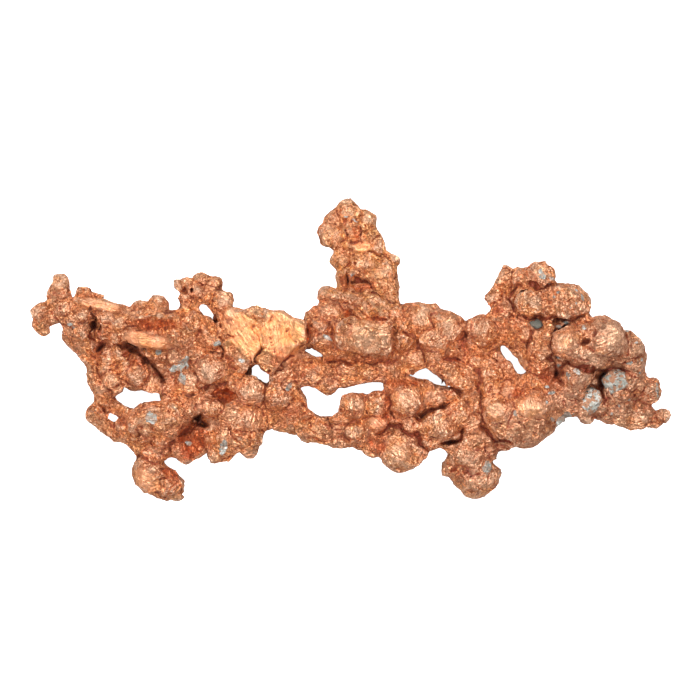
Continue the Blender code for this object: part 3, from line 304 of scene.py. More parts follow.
LOWER_STRAND = Limb(
    "lower_strand",
    nodules=(
        (-7.0, -7.2, 7.2, 1.5, 1.4, 1.6), (-1.3, -8.8, 7.6, 1.3), (0.6, -10.2, 8.2, 1.3, 1.1, 1.2),
        (-3.8, -9.8, 7.9, 1.3, 0.8, 0.8, -25),
    ),
    strands=(
        (
            (-10.6, -8.6, 6.6, 1.4), (-8.8, -8.4, 6.6, 1.6), (-6.9, -8.7, 6.5, 1.8), (-5.0, -9.7, 6.4, 1.9),
            (-2.6, -10.3, 6.4, 1.85), (-0.2, -10.5, 6.5, 1.7), (1.8, -10.6, 6.6, 1.6),
        ),
    ),
)

LOWER_CENTRE = Limb(
    "lower_centre",
    nodules=(
        (1.0, -7.2, 6.8, 2.3, 1.9, 2.4), (0.6, -6.7, 8.9, 1.7, 1.3, 1.3), (-0.2, -6.3, 8.2, 1.0),
        (9.5, -7.4, 5.8, 1.7, 1.4, 1.6), (3.4, -6.9, 7.9, 1.9, 1.7, 2.2), (6.9, -6.3, 8.7, 2.2, 1.9, 2.2, 15),
        (3.3, -9.1, 8.5, 1.3, 1.1, 1.3), (4.8, -8.3, 5.4, 2.8, 2.2, 2.4), (10.7, -5.8, 6.4, 2.2, 1.4, 1.9),
        (2.9, -11.8, 6.4, 1.6, 1.6, 1.9), (1.5, -11.4, 6.3, 1.2, 1.0, 1.5),
    ),
    strands=(
        (
            (4.4, -5.9, 7.6, 0.85), (5.4, -4.8, 8.0, 0.75), (7.4, -4.2, 8.1, 0.8), (9.2, -4.6, 7.7, 0.8),
            (10.4, -5.2, 7.4, 0.8),
        ),
    ),
)

TOWER = Limb(
    "tower",
    nodules=(
        (-0.3, 17.6, 5.0, 1.4, 1.4, 1.8), (2.1, 16.5, 5.0, 1.3, 1.3, 1.7), (-1.9, 16.3, 4.9, 1.3, 1.3, 1.6),
        (-3.4, 14.9, 4.7, 0.75), (-2.7, 14.1, 4.8, 1.3, 1.2, 1.5), (-1.6, 13.8, 5.2, 1.4, 1.3, 1.8),
        (0.4, 15.2, 4.9, 2.2, 1.9, 2.4), (2.4, 14.2, 4.8, 1.4, 1.6, 2.2), (3.0, 12.9, 4.9, 1.45, 1.4, 2.2),
        (1.2, 13.2, 3.7, 2.2, 1.8, 2.4), (-1.0, 11.4, 5.2, 1.35, 1.3, 1.8), (1.9, 11.2, 5.2, 2.6, 1.6, 2.5),
        (5.4, 11.3, 5.6, 0.85), (4.6, 9.8, 5.6, 1.5, 1.5, 2.3), (4.7, 8.1, 5.8, 1.6, 1.5, 2.2),
        (4.9, 6.4, 6.2, 1.3, 1.3, 1.9), (0.6, 9.7, 5.9, 1.1, 0.8, 1.4), (1.0, 14.6, 2.4, 2.0, 2.2, 2.5),
        (2.4, 8.6, 4.4, 2.4, 2.2, 2.2),
    ),
    strands=(
        (
            (-0.6, 10.6, 5.5, 0.9), (-1.0, 9.0, 5.9, 0.65), (-0.7, 7.6, 6.3, 0.7), (0.1, 6.6, 7.0, 0.9),
        ),
        (
            (-3.0, 6.9, 7.6, 1.0), (-1.4, 6.6, 7.9, 0.7), (0.6, 6.4, 8.4, 0.75), (2.0, 5.2, 8.8, 0.8),
        ),
        (
            (2.2, 7.0, 7.0, 0.7), (3.3, 5.9, 8.4, 0.95), (4.2, 4.6, 8.8, 0.9),
        ),
    ),
)

CENTRE_BLOCK = Limb(
    "centre_block",
    nodules=(
        (-3.0, 6.9, 7.5, 1.15), (-4.9, 2.4, 7.2, 1.0, 1.8, 1.6), (-4.9, 4.0, 7.2, 0.75), (-4.3, 4.6, 7.8, 0.85),
        (-2.3, 5.0, 8.3, 1.4, 1.3, 1.5), (-3.7, 3.2, 8.1, 1.2, 1.1, 1.4), (-3.3, 1.0, 7.8, 1.3, 1.1, 1.6),
        (5.5, 4.7, 7.9, 0.95), (0.8, 4.6, 5.6, 3.4, 2.0, 2.6), (-1.6, 2.0, 5.8, 2.6, 2.2, 2.8),
        (2.4, 1.4, 5.8, 4.0, 2.4, 3.0),
    ),
    strands=(
        (
            (-2.9, -0.1, 7.6, 0.85), (-1.2, -0.6, 8.4, 0.8), (1.2, -0.7, 8.6, 0.8), (4.2, -0.9, 8.5, 0.8),
        ),
    ),
    plates=(
        Plate(
            (
                (-1.9, 0.6), (-1.7, 3.4), (0.0, 4.2), (2.4, 3.6), (5.2, 3.6), (5.4, 0.6), (4.8, -0.7), (1.0, -0.3),
                (-0.8, -0.1),
            ),
            9.8,
            4.6,
            (0.03, 0.10),
        ),
    ),
)

RIGHT_CENTRE = Limb(
    "right_centre",
    nodules=(
        (9.0, 3.9, 7.4, 2.3, 2.1, 2.4, 10), (7.6, 4.6, 7.2, 1.3), (10.3, 4.6, 7.2, 1.15),
        (12.1, 2.8, 7.8, 2.3, 2.1, 2.6), (6.6, 0.9, 7.6, 1.4, 1.4, 1.7), (10.6, 1.3, 8.6, 1.9, 1.5, 1.9),
        (8.1, -1.0, 7.4, 1.4, 1.3, 1.6), (10.6, -0.9, 7.3, 1.6, 1.4, 1.8), (6.9, 3.4, 7.0, 1.5, 1.7, 1.9),
        (8.6, -1.5, 7.2, 1.1), (16.6, 2.4, 7.6, 2.2, 2.0, 2.4, -10), (14.6, 1.4, 5.2, 2.0, 2.0, 2.2),
        (13.0, -0.6, 4.9, 2.4, 1.9, 1.9), (15.6, -1.0, 5.0, 2.0, 1.8, 1.8), (9.6, 1.6, 4.4, 3.6, 2.6, 2.6),
        (16.6, 0.4, 4.9, 1.9, 2.0, 2.1),
    ),
    strands=(
        (
            (10.6, -1.4, 7.4, 1.2), (12.8, -2.7, 7.4, 1.5), (14.6, -4.4, 7.2, 1.7), (15.4, -6.6, 7.0, 1.8),
        ),
        (
            (15.9, -1.8, 7.4, 1.0), (17.6, -2.2, 7.2, 1.2), (17.6, -4.4, 6.9, 1.6), (17.4, -6.6, 7.0, 1.7),
        ),
        (
            (15.6, -4.6, 7.2, 1.3), (17.2, -3.2, 7.3, 1.1),
        ),
        (
            (9.4, -5.2, 6.6, 1.1), (12.2, -5.9, 6.6, 1.2), (14.4, -6.2, 6.8, 1.4),
        ),
        (
            (18.2, -0.8, 6.6, 0.8), (19.0, -2.2, 6.7, 1.2), (20.2, -3.5, 6.8, 1.1), (21.4, -4.4, 6.9, 1.3),
        ),
    ),
)

LOWER_RIGHT = Limb(
    "lower_right",
    nodules=(
        (6.7, -12.6, 7.0, 2.8, 2.7, 3.0, 10), (8.8, -12.4, 7.0, 1.1, 1.4, 1.6), (6.2, -13.0, 6.6, 2.4, 2.4, 2.6),
        (11.2, -9.4, 8.4, 2.4, 1.9, 2.2, 35), (13.4, -7.9, 8.0, 1.7, 1.5, 1.9, 30),
        (7.9, -9.5, 7.9, 1.4, 1.3, 1.6), (9.9, -11.4, 7.6, 1.4, 1.2, 1.6), (12.1, -11.2, 6.2, 1.5, 1.3, 1.5),
        (12.9, -12.3, 5.6, 1.0, 0.9, 1.3), (17.3, -10.8, 5.8, 1.3, 1.2, 1.6), (15.2, -9.4, 6.8, 1.7, 1.7, 2.0),
        (9.2, -9.8, 5.0, 2.6, 2.0, 2.2), (13.0, -8.6, 5.2, 2.4, 2.0, 2.2), (15.2, -11.0, 6.2, 1.7, 1.6, 2.0),
        (14.7, -13.5, 5.6, 2.2, 1.8, 2.4), (12.9, -14.6, 4.2, 1.5, 1.6, 2.0), (15.6, -16.4, 3.4, 2.3, 2.4, 3.5),
        (17.2, -15.8, 3.9, 1.65, 1.8, 2.6), (17.3, -12.7, 5.4, 1.2, 1.2, 1.5), (19.2, -11.7, 5.6, 1.0, 0.8, 1.2),
        (13.9, -16.0, 3.0, 1.3, 1.3, 1.8), (17.3, -16.4, 3.6, 1.45, 1.4, 2.2),
    ),
)

BULB = Limb(
    "bulb",
    nodules=(
        (20.8, -8.2, 5.4, 4.2, 3.8, 3.6), (18.4, -7.2, 8.8, 1.6, 1.7, 1.8), (22.5, -6.9, 9.1, 2.0, 1.9, 1.7, 15),
        (23.4, -9.4, 6.4, 2.5, 2.2, 2.6), (20.5, -10.3, 7.4, 2.3, 1.7, 1.9), (21.8, -10.4, 6.2, 2.2, 1.9, 2.2),
        (25.5, -8.2, 6.2, 1.4, 1.3, 1.7), (26.0, -4.0, 6.0, 1.7, 1.4, 1.8), (25.2, -6.6, 7.0, 2.6, 2.2, 2.6),
        (27.2, -6.4, 6.8, 2.0, 1.9, 2.4), (19.8, -5.2, 7.2, 1.7, 1.5, 1.9), (22.9, -4.4, 7.0, 1.9, 1.6, 2.0),
    ),
    strands=(
        (
            (18.6, 3.6, 7.2, 1.6), (20.4, 2.2, 7.2, 1.5), (21.7, 0.6, 7.4, 1.3), (22.9, -1.1, 7.4, 1.5),
        ),
        (
            (18.9, 4.4, 7.6, 1.2), (18.9, 2.6, 7.4, 1.3), (18.0, 1.2, 7.0, 1.0),
        ),
    ),
)

UPPER_HEAD = Limb(
    "upper_head",
    nodules=(
        (19.1, 8.9, 8.4, 0.9, 1.4, 1.1, -12), (19.4, 10.1, 8.3, 0.55, 0.5, 0.6), (18.1, 6.6, 7.6, 1.15, 1.0, 1.4),
        (19.2, 5.6, 7.2, 1.6, 1.5, 1.8), (21.0, 8.9, 8.2, 1.3, 1.3, 1.6), (22.9, 9.1, 8.8, 1.7, 1.6, 1.9),
        (24.2, 9.3, 8.8, 1.6, 1.75, 1.9), (23.0, 7.0, 6.6, 3.2, 2.4, 2.6), (26.6, 6.6, 7.0, 2.6, 2.0, 2.6),
        (22.4, 3.7, 6.2, 2.4, 1.6, 2.2), (26.0, 4.0, 6.8, 2.2, 1.4, 2.2), (20.9, 6.4, 7.4, 1.6, 1.8, 2.2),
    ),
    strands=(
        (
            (22.0, 5.9, 11.0, 1.4), (24.4, 6.0, 11.2, 1.5), (26.2, 6.2, 11.0, 1.9), (27.7, 6.3, 10.4, 2.2),
        ),
        (
            (28.6, 5.6, 9.4, 1.5), (28.4, 4.4, 8.6, 1.4),
        ),
    ),
)

RIGHT_CLUSTER = Limb(
    "right_cluster",
    nodules=(
        (30.4, -0.6, 6.4, 5.4, 4.2, 4.2), (25.4, 0.6, 6.2, 2.8, 3.2, 3.2), (24.0, -0.4, 8.8, 1.7, 2.6, 2.3),
        (27.2, 0.8, 11.6, 2.2, 2.2, 2.4, 20), (31.9, 1.4, 11.8, 2.5, 2.4, 2.9, -15),
        (29.8, -1.2, 11.2, 2.6, 1.2, 2.0, -12), (29.0, 3.0, 8.0, 1.8, 1.4, 2.2), (31.4, 2.8, 9.6, 1.7, 1.4, 1.9),
        (34.5, 0.3, 8.6, 2.2, 2.1, 2.8), (35.5, -1.6, 8.0, 1.6, 2.2, 2.4), (28.4, -3.2, 10.0, 1.9, 1.5, 2.2, -10),
        (28.0, -5.2, 9.2, 1.4, 1.0, 1.3), (29.4, -7.2, 7.0, 1.6, 1.5, 1.8), (29.6, -8.4, 6.6, 1.0, 0.95, 1.3),
        (31.0, -3.0, 3.4, 3.4, 2.8, 3.5), (32.6, -5.4, 6.0, 2.6, 2.4, 2.8), (24.8, -2.0, 5.4, 2.0, 1.9, 2.2),
        (35.9, -4.0, 6.6, 1.3, 1.8, 1.9),
    ),
)

TAIL = Limb(
    "tail",
    nodules=(
        (33.8, -7.6, 6.2, 2.2, 1.7, 1.8, -15), (36.4, -8.2, 6.0, 1.8, 1.6, 1.6, -20),
        (39.0, -8.4, 5.8, 1.0, 1.0, 1.2), (38.0, -9.0, 5.8, 0.9), (37.5, -5.2, 6.2, 1.3, 1.55, 1.5),
        (37.9, -4.3, 6.2, 0.75),
    ),
    plates=(
        Plate(
            (
                (31.2, -5.6), (30.8, -8.6), (31.6, -9.2), (33.3, -9.3), (35.1, -10.1), (36.9, -9.6), (38.3, -9.7),
                (38.6, -8.6), (37.6, -7.4), (37.2, -5.0), (34.5, -4.8),
            ),
            6.2,
            2.6,
            (0.0, 0.18),
        ),
    ),
)

# What only the finished surface carries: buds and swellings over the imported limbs.
FINE_FORMS = Limb(
    "fine_forms",
    nodules=(
        (-30.4, 4.2, 8.9, 1.0), (-28.8, 3.3, 9.5, 0.95), (-30.6, 2.2, 8.2, 0.9), (-29.2, 1.6, 8.4, 0.9),
        (-29.8, -3.7, 7.2, 1.1), (-29.0, -5.0, 6.6, 0.8), (-28.4, -0.5, 7.8, 0.85), (-30.2, -1.1, 7.4, 0.85),
        (-31.2, -4.9, 6.1, 0.75), (-26.6, -3.0, 8.4, 1.3), (-28.0, -2.2, 7.8, 0.9), (-29.4, -9.3, 4.9, 0.45),
        (-28.9, -8.6, 5.4, 0.4), (-33.3, 4.5, 8.5, 0.8), (-33.5, 2.3, 7.8, 0.8), (-35.4, 5.2, 7.4, 1.0),
        (-22.6, -15.6, 3.2, 1.2), (-24.6, -15.0, 5.6, 1.4, 1.0, 1.2, 50), (-22.4, -17.2, 4.6, 1.1, 1.0, 1.2),
        (-12.5, -5.1, 9.2, 2.0, 1.6, 1.7), (-17.3, -2.5, 9.5, 2.1, 1.8, 1.8), (-9.0, -5.8, 8.6, 1.7, 1.5, 1.6),
        (-19.8, -4.0, 8.2, 1.7, 1.5, 1.6), (-14.0, -8.4, 8.2, 2.8, 1.9, 1.8, -10), (-13.6, -10.6, 7.4, 2.2, 1.6, 1.8),
        (-17.3, -7.2, 8.4, 1.7, 1.2, 1.5), (-25.4, -13.0, 5.6, 1.0, 0.7, 1.0), (-23.9, -13.2, 5.2, 0.9, 0.6, 0.9),
        (20.6, -8.0, 8.2, 4.4, 3.2, 2.2), (18.3, -7.3, 8.3, 2.2, 2.0, 2.3), (22.6, -7.0, 8.8, 2.8, 2.0, 2.0, 10), (20.4, -8.6, 7.9, 3.4, 2.2, 2.0),
        (21.6, -10.2, 7.2, 3.2, 1.7, 1.9), (14.9, -13.2, 6.0, 2.6, 1.9, 2.1), (15.9, -15.8, 4.9, 2.5, 2.0, 2.3),
        (15.2, -11.2, 6.6, 1.9, 1.7, 2.0), (13.4, -3.4, 8.0, 2.6, 1.3, 1.4, -35), (17.6, -3.0, 7.9, 1.4, 1.2, 1.4),
        (17.8, -5.2, 7.8, 1.5, 1.5, 1.5), (18.0, 7.9, 7.7, 0.85, 1.0, 1.1), (17.3, 6.5, 7.4, 0.6),
        (18.7, 8.8, 8.2, 0.8, 1.0, 1.0), (19.4, 9.6, 8.3, 0.65, 0.7, 0.8), (18.6, 5.2, 7.3, 1.0), (21.2, 9.0, 8.7, 1.4),
        (23.7, 9.3, 9.2, 2.0, 1.6, 1.9), (22.9, 5.9, 11.2, 2.0, 1.7, 1.7), (27.2, 6.3, 10.6, 2.7, 2.3, 2.4),
        (27.1, 0.9, 11.8, 2.3, 2.0, 2.3, 20), (29.4, -0.4, 12.0, 2.0, 1.0, 1.8, -10), (29.4, 2.4, 11.8, 1.4, 0.9, 1.8),
        (31.9, 1.5, 12.0, 2.6, 2.4, 2.6), (24.0, 0.2, 9.2, 1.2, 2.6, 2.1), (24.9, 2.7, 9.3, 0.9), (22.2, 2.0, 8.8, 1.0),
        (23.6, 1.7, 9.2, 0.9), (21.5, 3.5, 8.6, 0.9), (22.3, 4.9, 10.2, 1.2), (24.4, 4.7, 10.2, 1.1),
        (35.2, 0.6, 8.9, 1.8, 1.8, 2.3), (33.6, -5.6, 8.2, 1.6, 0.9, 1.5), (34.9, -3.9, 8.4, 1.0, 1.3, 1.6),
        (28.6, -6.7, 7.8, 0.9, 1.0, 1.0), (31.5, -6.8, 7.4, 0.9, 1.0, 1.0), (28.4, -3.1, 10.0, 2.1, 1.6, 2.2),
        (28.0, -5.2, 9.2, 1.4, 1.0, 1.2), (9.0, 4.0, 7.6, 2.3, 1.9, 2.4), (12.1, 2.9, 8.0, 2.2, 2.1, 2.5),
        (10.7, 1.3, 8.7, 2.0, 1.5, 1.9), (7.0, -6.3, 8.8, 2.3, 1.9, 2.1, 15), (3.3, -6.8, 8.1, 1.9, 1.6, 2.0),
        (0.8, -7.0, 8.0, 2.0, 1.7, 1.8), (3.3, -9.2, 8.5, 1.3, 1.1, 1.3), (-2.3, 14.4, 5.6, 1.5, 1.6, 1.6),
        (0.0, 16.9, 5.6, 1.6, 1.4, 1.6), (2.2, 16.4, 5.3, 1.2, 1.2, 1.6), (3.4, 12.9, 5.6, 1.1, 1.4, 1.8),
        (4.2, 9.8, 6.4, 1.7, 1.7, 2.0), (4.6, 7.9, 6.6, 1.4, 1.5, 1.8), (5.4, 11.3, 6.3, 0.8), (-0.9, 11.3, 5.8, 1.3),
        (1.9, 10.8, 6.4, 1.6, 1.2, 1.6), (-2.5, 4.9, 8.7, 1.5, 1.3, 1.4), (5.5, 4.7, 8.6, 0.95), (3.2, 6.0, 9.0, 1.1),
        (-0.3, 4.5, 7.7, 0.8), (-23.3, -5.8, 5.6, 0.6), (-15.8, 6.25, 8.5, 1.25, 1.35, 1.2), (-23.8, 5.7, 8.6, 1.1, 1.2, 1.3), (-26.1, 5.3, 8.4, 0.9),
    ),
    strands=(
        ((-3.0, 6.9, 8.2, 1.0), (-1.4, 6.7, 8.7, 0.6), (0.6, 6.3, 9.2, 0.65), (2.1, 5.2, 9.6, 0.7)),
        ((-2.6, 6.0, 8.4, 0.5), (0.0, 5.5, 8.8, 0.5), (1.6, 4.6, 9.2, 0.5)),
        ((2.4, 7.1, 8.0, 0.6), (3.3, 5.9, 9.4, 0.95), (4.3, 4.8, 9.4, 0.8)),
        ((-0.6, 10.4, 6.6, 0.6), (-1.1, 9.2, 6.9, 0.55), (-0.9, 8.0, 7.0, 0.6), (0.0, 7.2, 7.6, 0.6)),
        ((-34.2, 6.0, 7.8, 0.6), (-32.6, 5.8, 8.3, 0.75), (-31.0, 5.5, 8.5, 0.8), (-29.4, 5.1, 8.6, 0.7), (-27.9, 4.9, 8.6, 0.55)),
        ((18.5, 1.0, 6.4, 0.5), (19.6, 1.0, 6.5, 0.5), (21.2, -0.5, 6.6, 0.55), (22.1, -1.9, 6.6, 0.5)),
        ((18.3, -0.2, 6.4, 0.5), (19.3, -1.7, 6.4, 0.5), (20.6, -3.1, 6.4, 0.5)),
        ((10.2, -4.5, 7.2, 0.5), (11.4, -4.7, 7.2, 0.5), (12.4, -4.9, 7.2, 0.6)),
        ((10.6, -2.6, 7.0, 0.5), (11.6, -3.5, 7.0, 0.5), (12.6, -4.2, 7.0, 0.5)),
        ((7.6, -3.5, 7.6, 0.5), (8.6, -3.9, 7.8, 0.45), (9.6, -4.2, 7.6, 0.45)),
        ((-6.4, 0.5, 6.6, 0.5), (-5.0, 0.9, 6.8, 0.5), (-3.7, 0.2, 6.8, 0.5), (-2.7, -0.7, 6.8, 0.5)),
        ((-6.4, -0.5, 6.6, 0.5), (-5.0, -1.0, 6.8, 0.5), (-3.4, -1.3, 6.8, 0.5)),
        ((-19.3, 6.0, 7.0, 0.5), (-17.8, 6.1, 7.2, 0.5), (-16.9, 5.1, 7.2, 0.5), (-16.0, 4.0, 7.2, 0.5)),
        ((-19.2, 5.0, 7.0, 0.5), (-18.6, 4.0, 7.2, 0.5), (-17.3, 3.6, 7.2, 0.5)),
        ((4.7, -3.8, 6.6, 0.45), (4.9, -5.2, 6.6, 0.5)), ((-2.8, -5.4, 6.2, 0.3), (-1.7, -4.4, 6.4, 0.45), (1.0, -4.0, 6.6, 0.45)),
        ((-6.9, -4.7, 6.0, 0.45), (-6.3, -5.7, 5.8, 0.4), (-5.9, -6.4, 5.8, 0.45)),
    ),
)

LIMBS = (
    LEFT_FINGER, UPPER_LEFT, HEAD_CLUSTER, WING, CENTRE_LEFT, FLIPPER, LOWER_LEFT, BEAM, LOWER_STRAND, LOWER_CENTRE,
    TOWER, CENTRE_BLOCK, RIGHT_CENTRE, LOWER_RIGHT, BULB, UPPER_HEAD, RIGHT_CLUSTER, TAIL, FINE_FORMS,
)

FOLDS_APART = Vector((7.3, 3.1, 5.7))  # sets one pattern of folds apart from another

# Small flats all over: their spacing in millimetres, how far the surface is drawn to them, and how much they lean.
FACETS = ((1.05, 0.6, 0.17),)

# Where the metal is smooth and finely drawn out along the turn.
SMOOTH: tuple[Stain, ...] = (
    Stain(-13.4, 2.2, 3.4, 2.0, -55), Stain(-8.6, 1.3, 4.0, 2.4, -82), Stain(-6.6, 2.4, 1.8, 1.2, -30),
    Stain(2.4, 1.6, 3.2, 2.3, -8, 0.29), Stain(1.5, 13.1, 1.6, 0.8, 0, 0.8), Stain(27.0, 1.0, 1.6, 1.3, 60, 0.4),
    Stain(32.0, 1.6, 2.0, 1.9, 20, 0.4), Stain(22.9, -7.2, 2.0, 1.9, -80, 0.5), Stain(18.4, -7.5, 1.6, 1.5, -40, 0.4),
    Stain(-25.4, 1.3, 3.0, 0.9, -10, 0.8), Stain(-31.2, 5.6, 3.0, 0.7, -10, 0.7), Stain(6.2, -12.4, 2.2, 2.0, -30, 0.35),
    Stain(-25.4, -16.6, 2.0, 1.4, -30, 0.6), Stain(7.0, -6.3, 1.8, 1.4, -15, 0.3), Stain(3.4, -9.1, 1.0, 1.1, -50, 0.7),
)

# --- What is drawn over the upper side --------------------------------------------------------------------

# Gaps that run right through, and notches in the outline.
SLOTS: tuple[tuple[tuple[float, float], ...], ...] = (
    (
        (6.4, -3.0), (8.0, -2.85), (8.8, -2.4), (9.4, -2.3), (10.0, -2.65), (10.7, -2.95), (11.2, -3.5), (12.0, -4.05),
        (12.9, -4.5), (12.6, -4.75), (11.5, -4.5), (10.5, -4.3), (9.8, -3.75), (9.2, -3.65), (8.5, -3.6), (7.4, -3.3),
    ),
    (
        (18.7, 0.2), (19.0, 0.7), (19.4, 0.5), (20.0, -0.1), (21.0, -0.95), (21.4, -1.4), (21.4, -2.0), (21.7, -2.4),
        (22.2, -2.7), (21.8, -2.9), (21.3, -3.1), (20.7, -2.7), (20.3, -1.9), (20.0, -1.5), (19.4, -1.1), (19.0, -0.4),
    ),
    ((-11.6, -1.9), (-10.3, -3.0), (-10.0, -4.0), (-10.3, -4.3), (-10.8, -4.1), (-11.6, -3.4), (-12.6, -3.0)),
    ((-6.0, 0.0), (-4.8, 0.4), (-4.4, 0.0), (-3.8, -0.25), (-3.1, -0.9), (-4.3, -0.95)),
    (
        (-18.9, 5.7), (-18.0, 5.7), (-17.5, 5.0), (-16.7, 4.3), (-16.4, 3.4), (-16.9, 3.4), (-17.4, 4.1), (-18.4, 4.3),
        (-18.8, 4.9),
    ),
    (
        (-6.6, -5.4), (-6.1, -4.7), (-5.0, -4.5), (-4.0, -5.0), (-3.3, -5.6), (-2.7, -5.7), (-2.0, -5.4), (-1.5, -4.7),
        (-1.0, -4.6), (0.0, -4.6), (1.0, -4.3), (3.0, -4.1), (4.1, -4.0), (4.3, -5.1), (3.0, -5.2), (2.0, -5.6),
        (1.0, -5.4), (0.0, -5.3), (-1.1, -5.2), (-1.0, -5.9), (-1.4, -7.3), (-1.4, -7.8), (-2.3, -8.0), (-3.3, -8.5),
        (-4.8, -7.7), (-5.2, -6.2), (-5.6, -5.9),
    ),
    (
        (-28.4, -4.5), (-28.5, -5.7), (-29.6, -5.6), (-28.9, -6.6), (-28.3, -6.7), (-27.4, -7.4), (-26.7, -7.1),
        (-26.4, -6.4), (-25.2, -6.5), (-24.7, -6.1), (-23.8, -6.0), (-23.6, -5.7), (-24.0, -5.4), (-25.0, -5.3),
        (-26.0, -5.0), (-27.0, -5.1),
    ),
    ((-30.2, -7.7), (-29.3, -8.2), (-28.9, -8.3), (-28.9, -8.9), (-29.8, -9.0)),
    ((-18.4, -13.3), (-18.2, -12.7), (-17.9, -12.6), (-17.65, -12.9), (-17.95, -13.5), (-18.0, -14.6), (-18.7, -14.6)),
    ((-15.0, -13.6), (-14.2, -12.9), (-13.65, -12.7), (-13.5, -12.9), (-13.45, -13.5), (-13.5, -14.4), (-15.0, -14.4)),
    ((-23.3, -14.0), (-22.9, -14.5), (-21.8, -15.2), (-21.2, -15.8), (-20.6, -15.2), (-21.5, -14.3)),
    ((-21.5, -18.1), (-20.9, -17.9), (-20.2, -17.8), (-20.2, -18.3), (-20.9, -18.35)),
    ((15.9, 7.0), (16.75, 6.55), (17.8, 7.8), (18.5, 9.3), (19.1, 10.4), (18.4, 11.4), (15.9, 9.5)),
    ((24.5, 10.8), (25.5, 9.9), (25.95, 9.1), (27.2, 9.5), (26.2, 11.6), (24.8, 11.8)),
    ((34.3, 2.75), (35.1, 2.4), (36.0, 1.6), (36.6, 0.8), (37.8, 1.5), (35.6, 3.8)),
    ((26.4, -9.1), (25.4, -10.3), (24.5, -10.9), (23.6, -11.7), (22.9, -12.15), (23.5, -13.6), (27.4, -11.2)),
)

# Hollows pressed in: x, y, half width, half length, turn and depth.
HOLLOWS: tuple[Row, ...] = (
    (-15.7, -5.8, 2.2, 1.3, 0, 1.7), (-25.4, 3.2, 1.7, 0.9, -8, 0.5), (-23.2, 2.9, 1.6, 0.8, 12, 0.5), (1.5, 13.1, 1.5, 0.8, 0, 0.35),
    (29.1, 1.0, 0.6, 0.6, 0, 1.8), (31.3, -3.9, 0.85, 1.9, 0, 4.2), (23.3, 3.3, 1.1, 0.9, 0, 1.5), (26.0, -3.0, 0.9, 1.2, 0, 1.6),
    (17.5, -4.9, 0.6, 0.5, 0, 0.8), (-20.8, 7.1, 0.45, 0.45, 0, 1.4), (-19.5, 7.5, 0.45, 0.5, 0, 1.8),
    (-18.9, -9.0, 1.5, 1.1, 30, 3.2), (-20.1, -10.2, 1.6, 0.6, 48, 2.6), (-19.8, -11.4, 2.2, 2.4, 0, 1.6), (-31.8, 3.2, 0.8, 1.2, 10, 3.0), (-31.3, 0.1, 0.6, 0.9, 10, 1.6),
    (-28.2, 0.5, 1.0, 0.5, 0, 2.0),
    (-27.3, -0.2, 1.3, 0.8, -35, 3.0), (-25.6, -1.5, 1.3, 0.6, -40, 2.4), (-24.2, -2.6, 0.6, 1.4, 25, 1.8), (12.8, -11.7, 1.0, 0.6, 40, 2.4),
    (13.4, -5.1, 1.1, 0.5, -30, 2.0), (25.9, 3.7, 1.5, 0.35, 0, 0.9), (-7.4, 2.0, 0.5, 0.2, 0, 0.4),
    (14.3, 1.2, 0.7, 1.3, 0, 1.2), (-26.8, -10.3, 0.5, 0.4, 0, 1.4), (-5.1, 2.2, 0.4, 1.3, 0, 1.6),
)

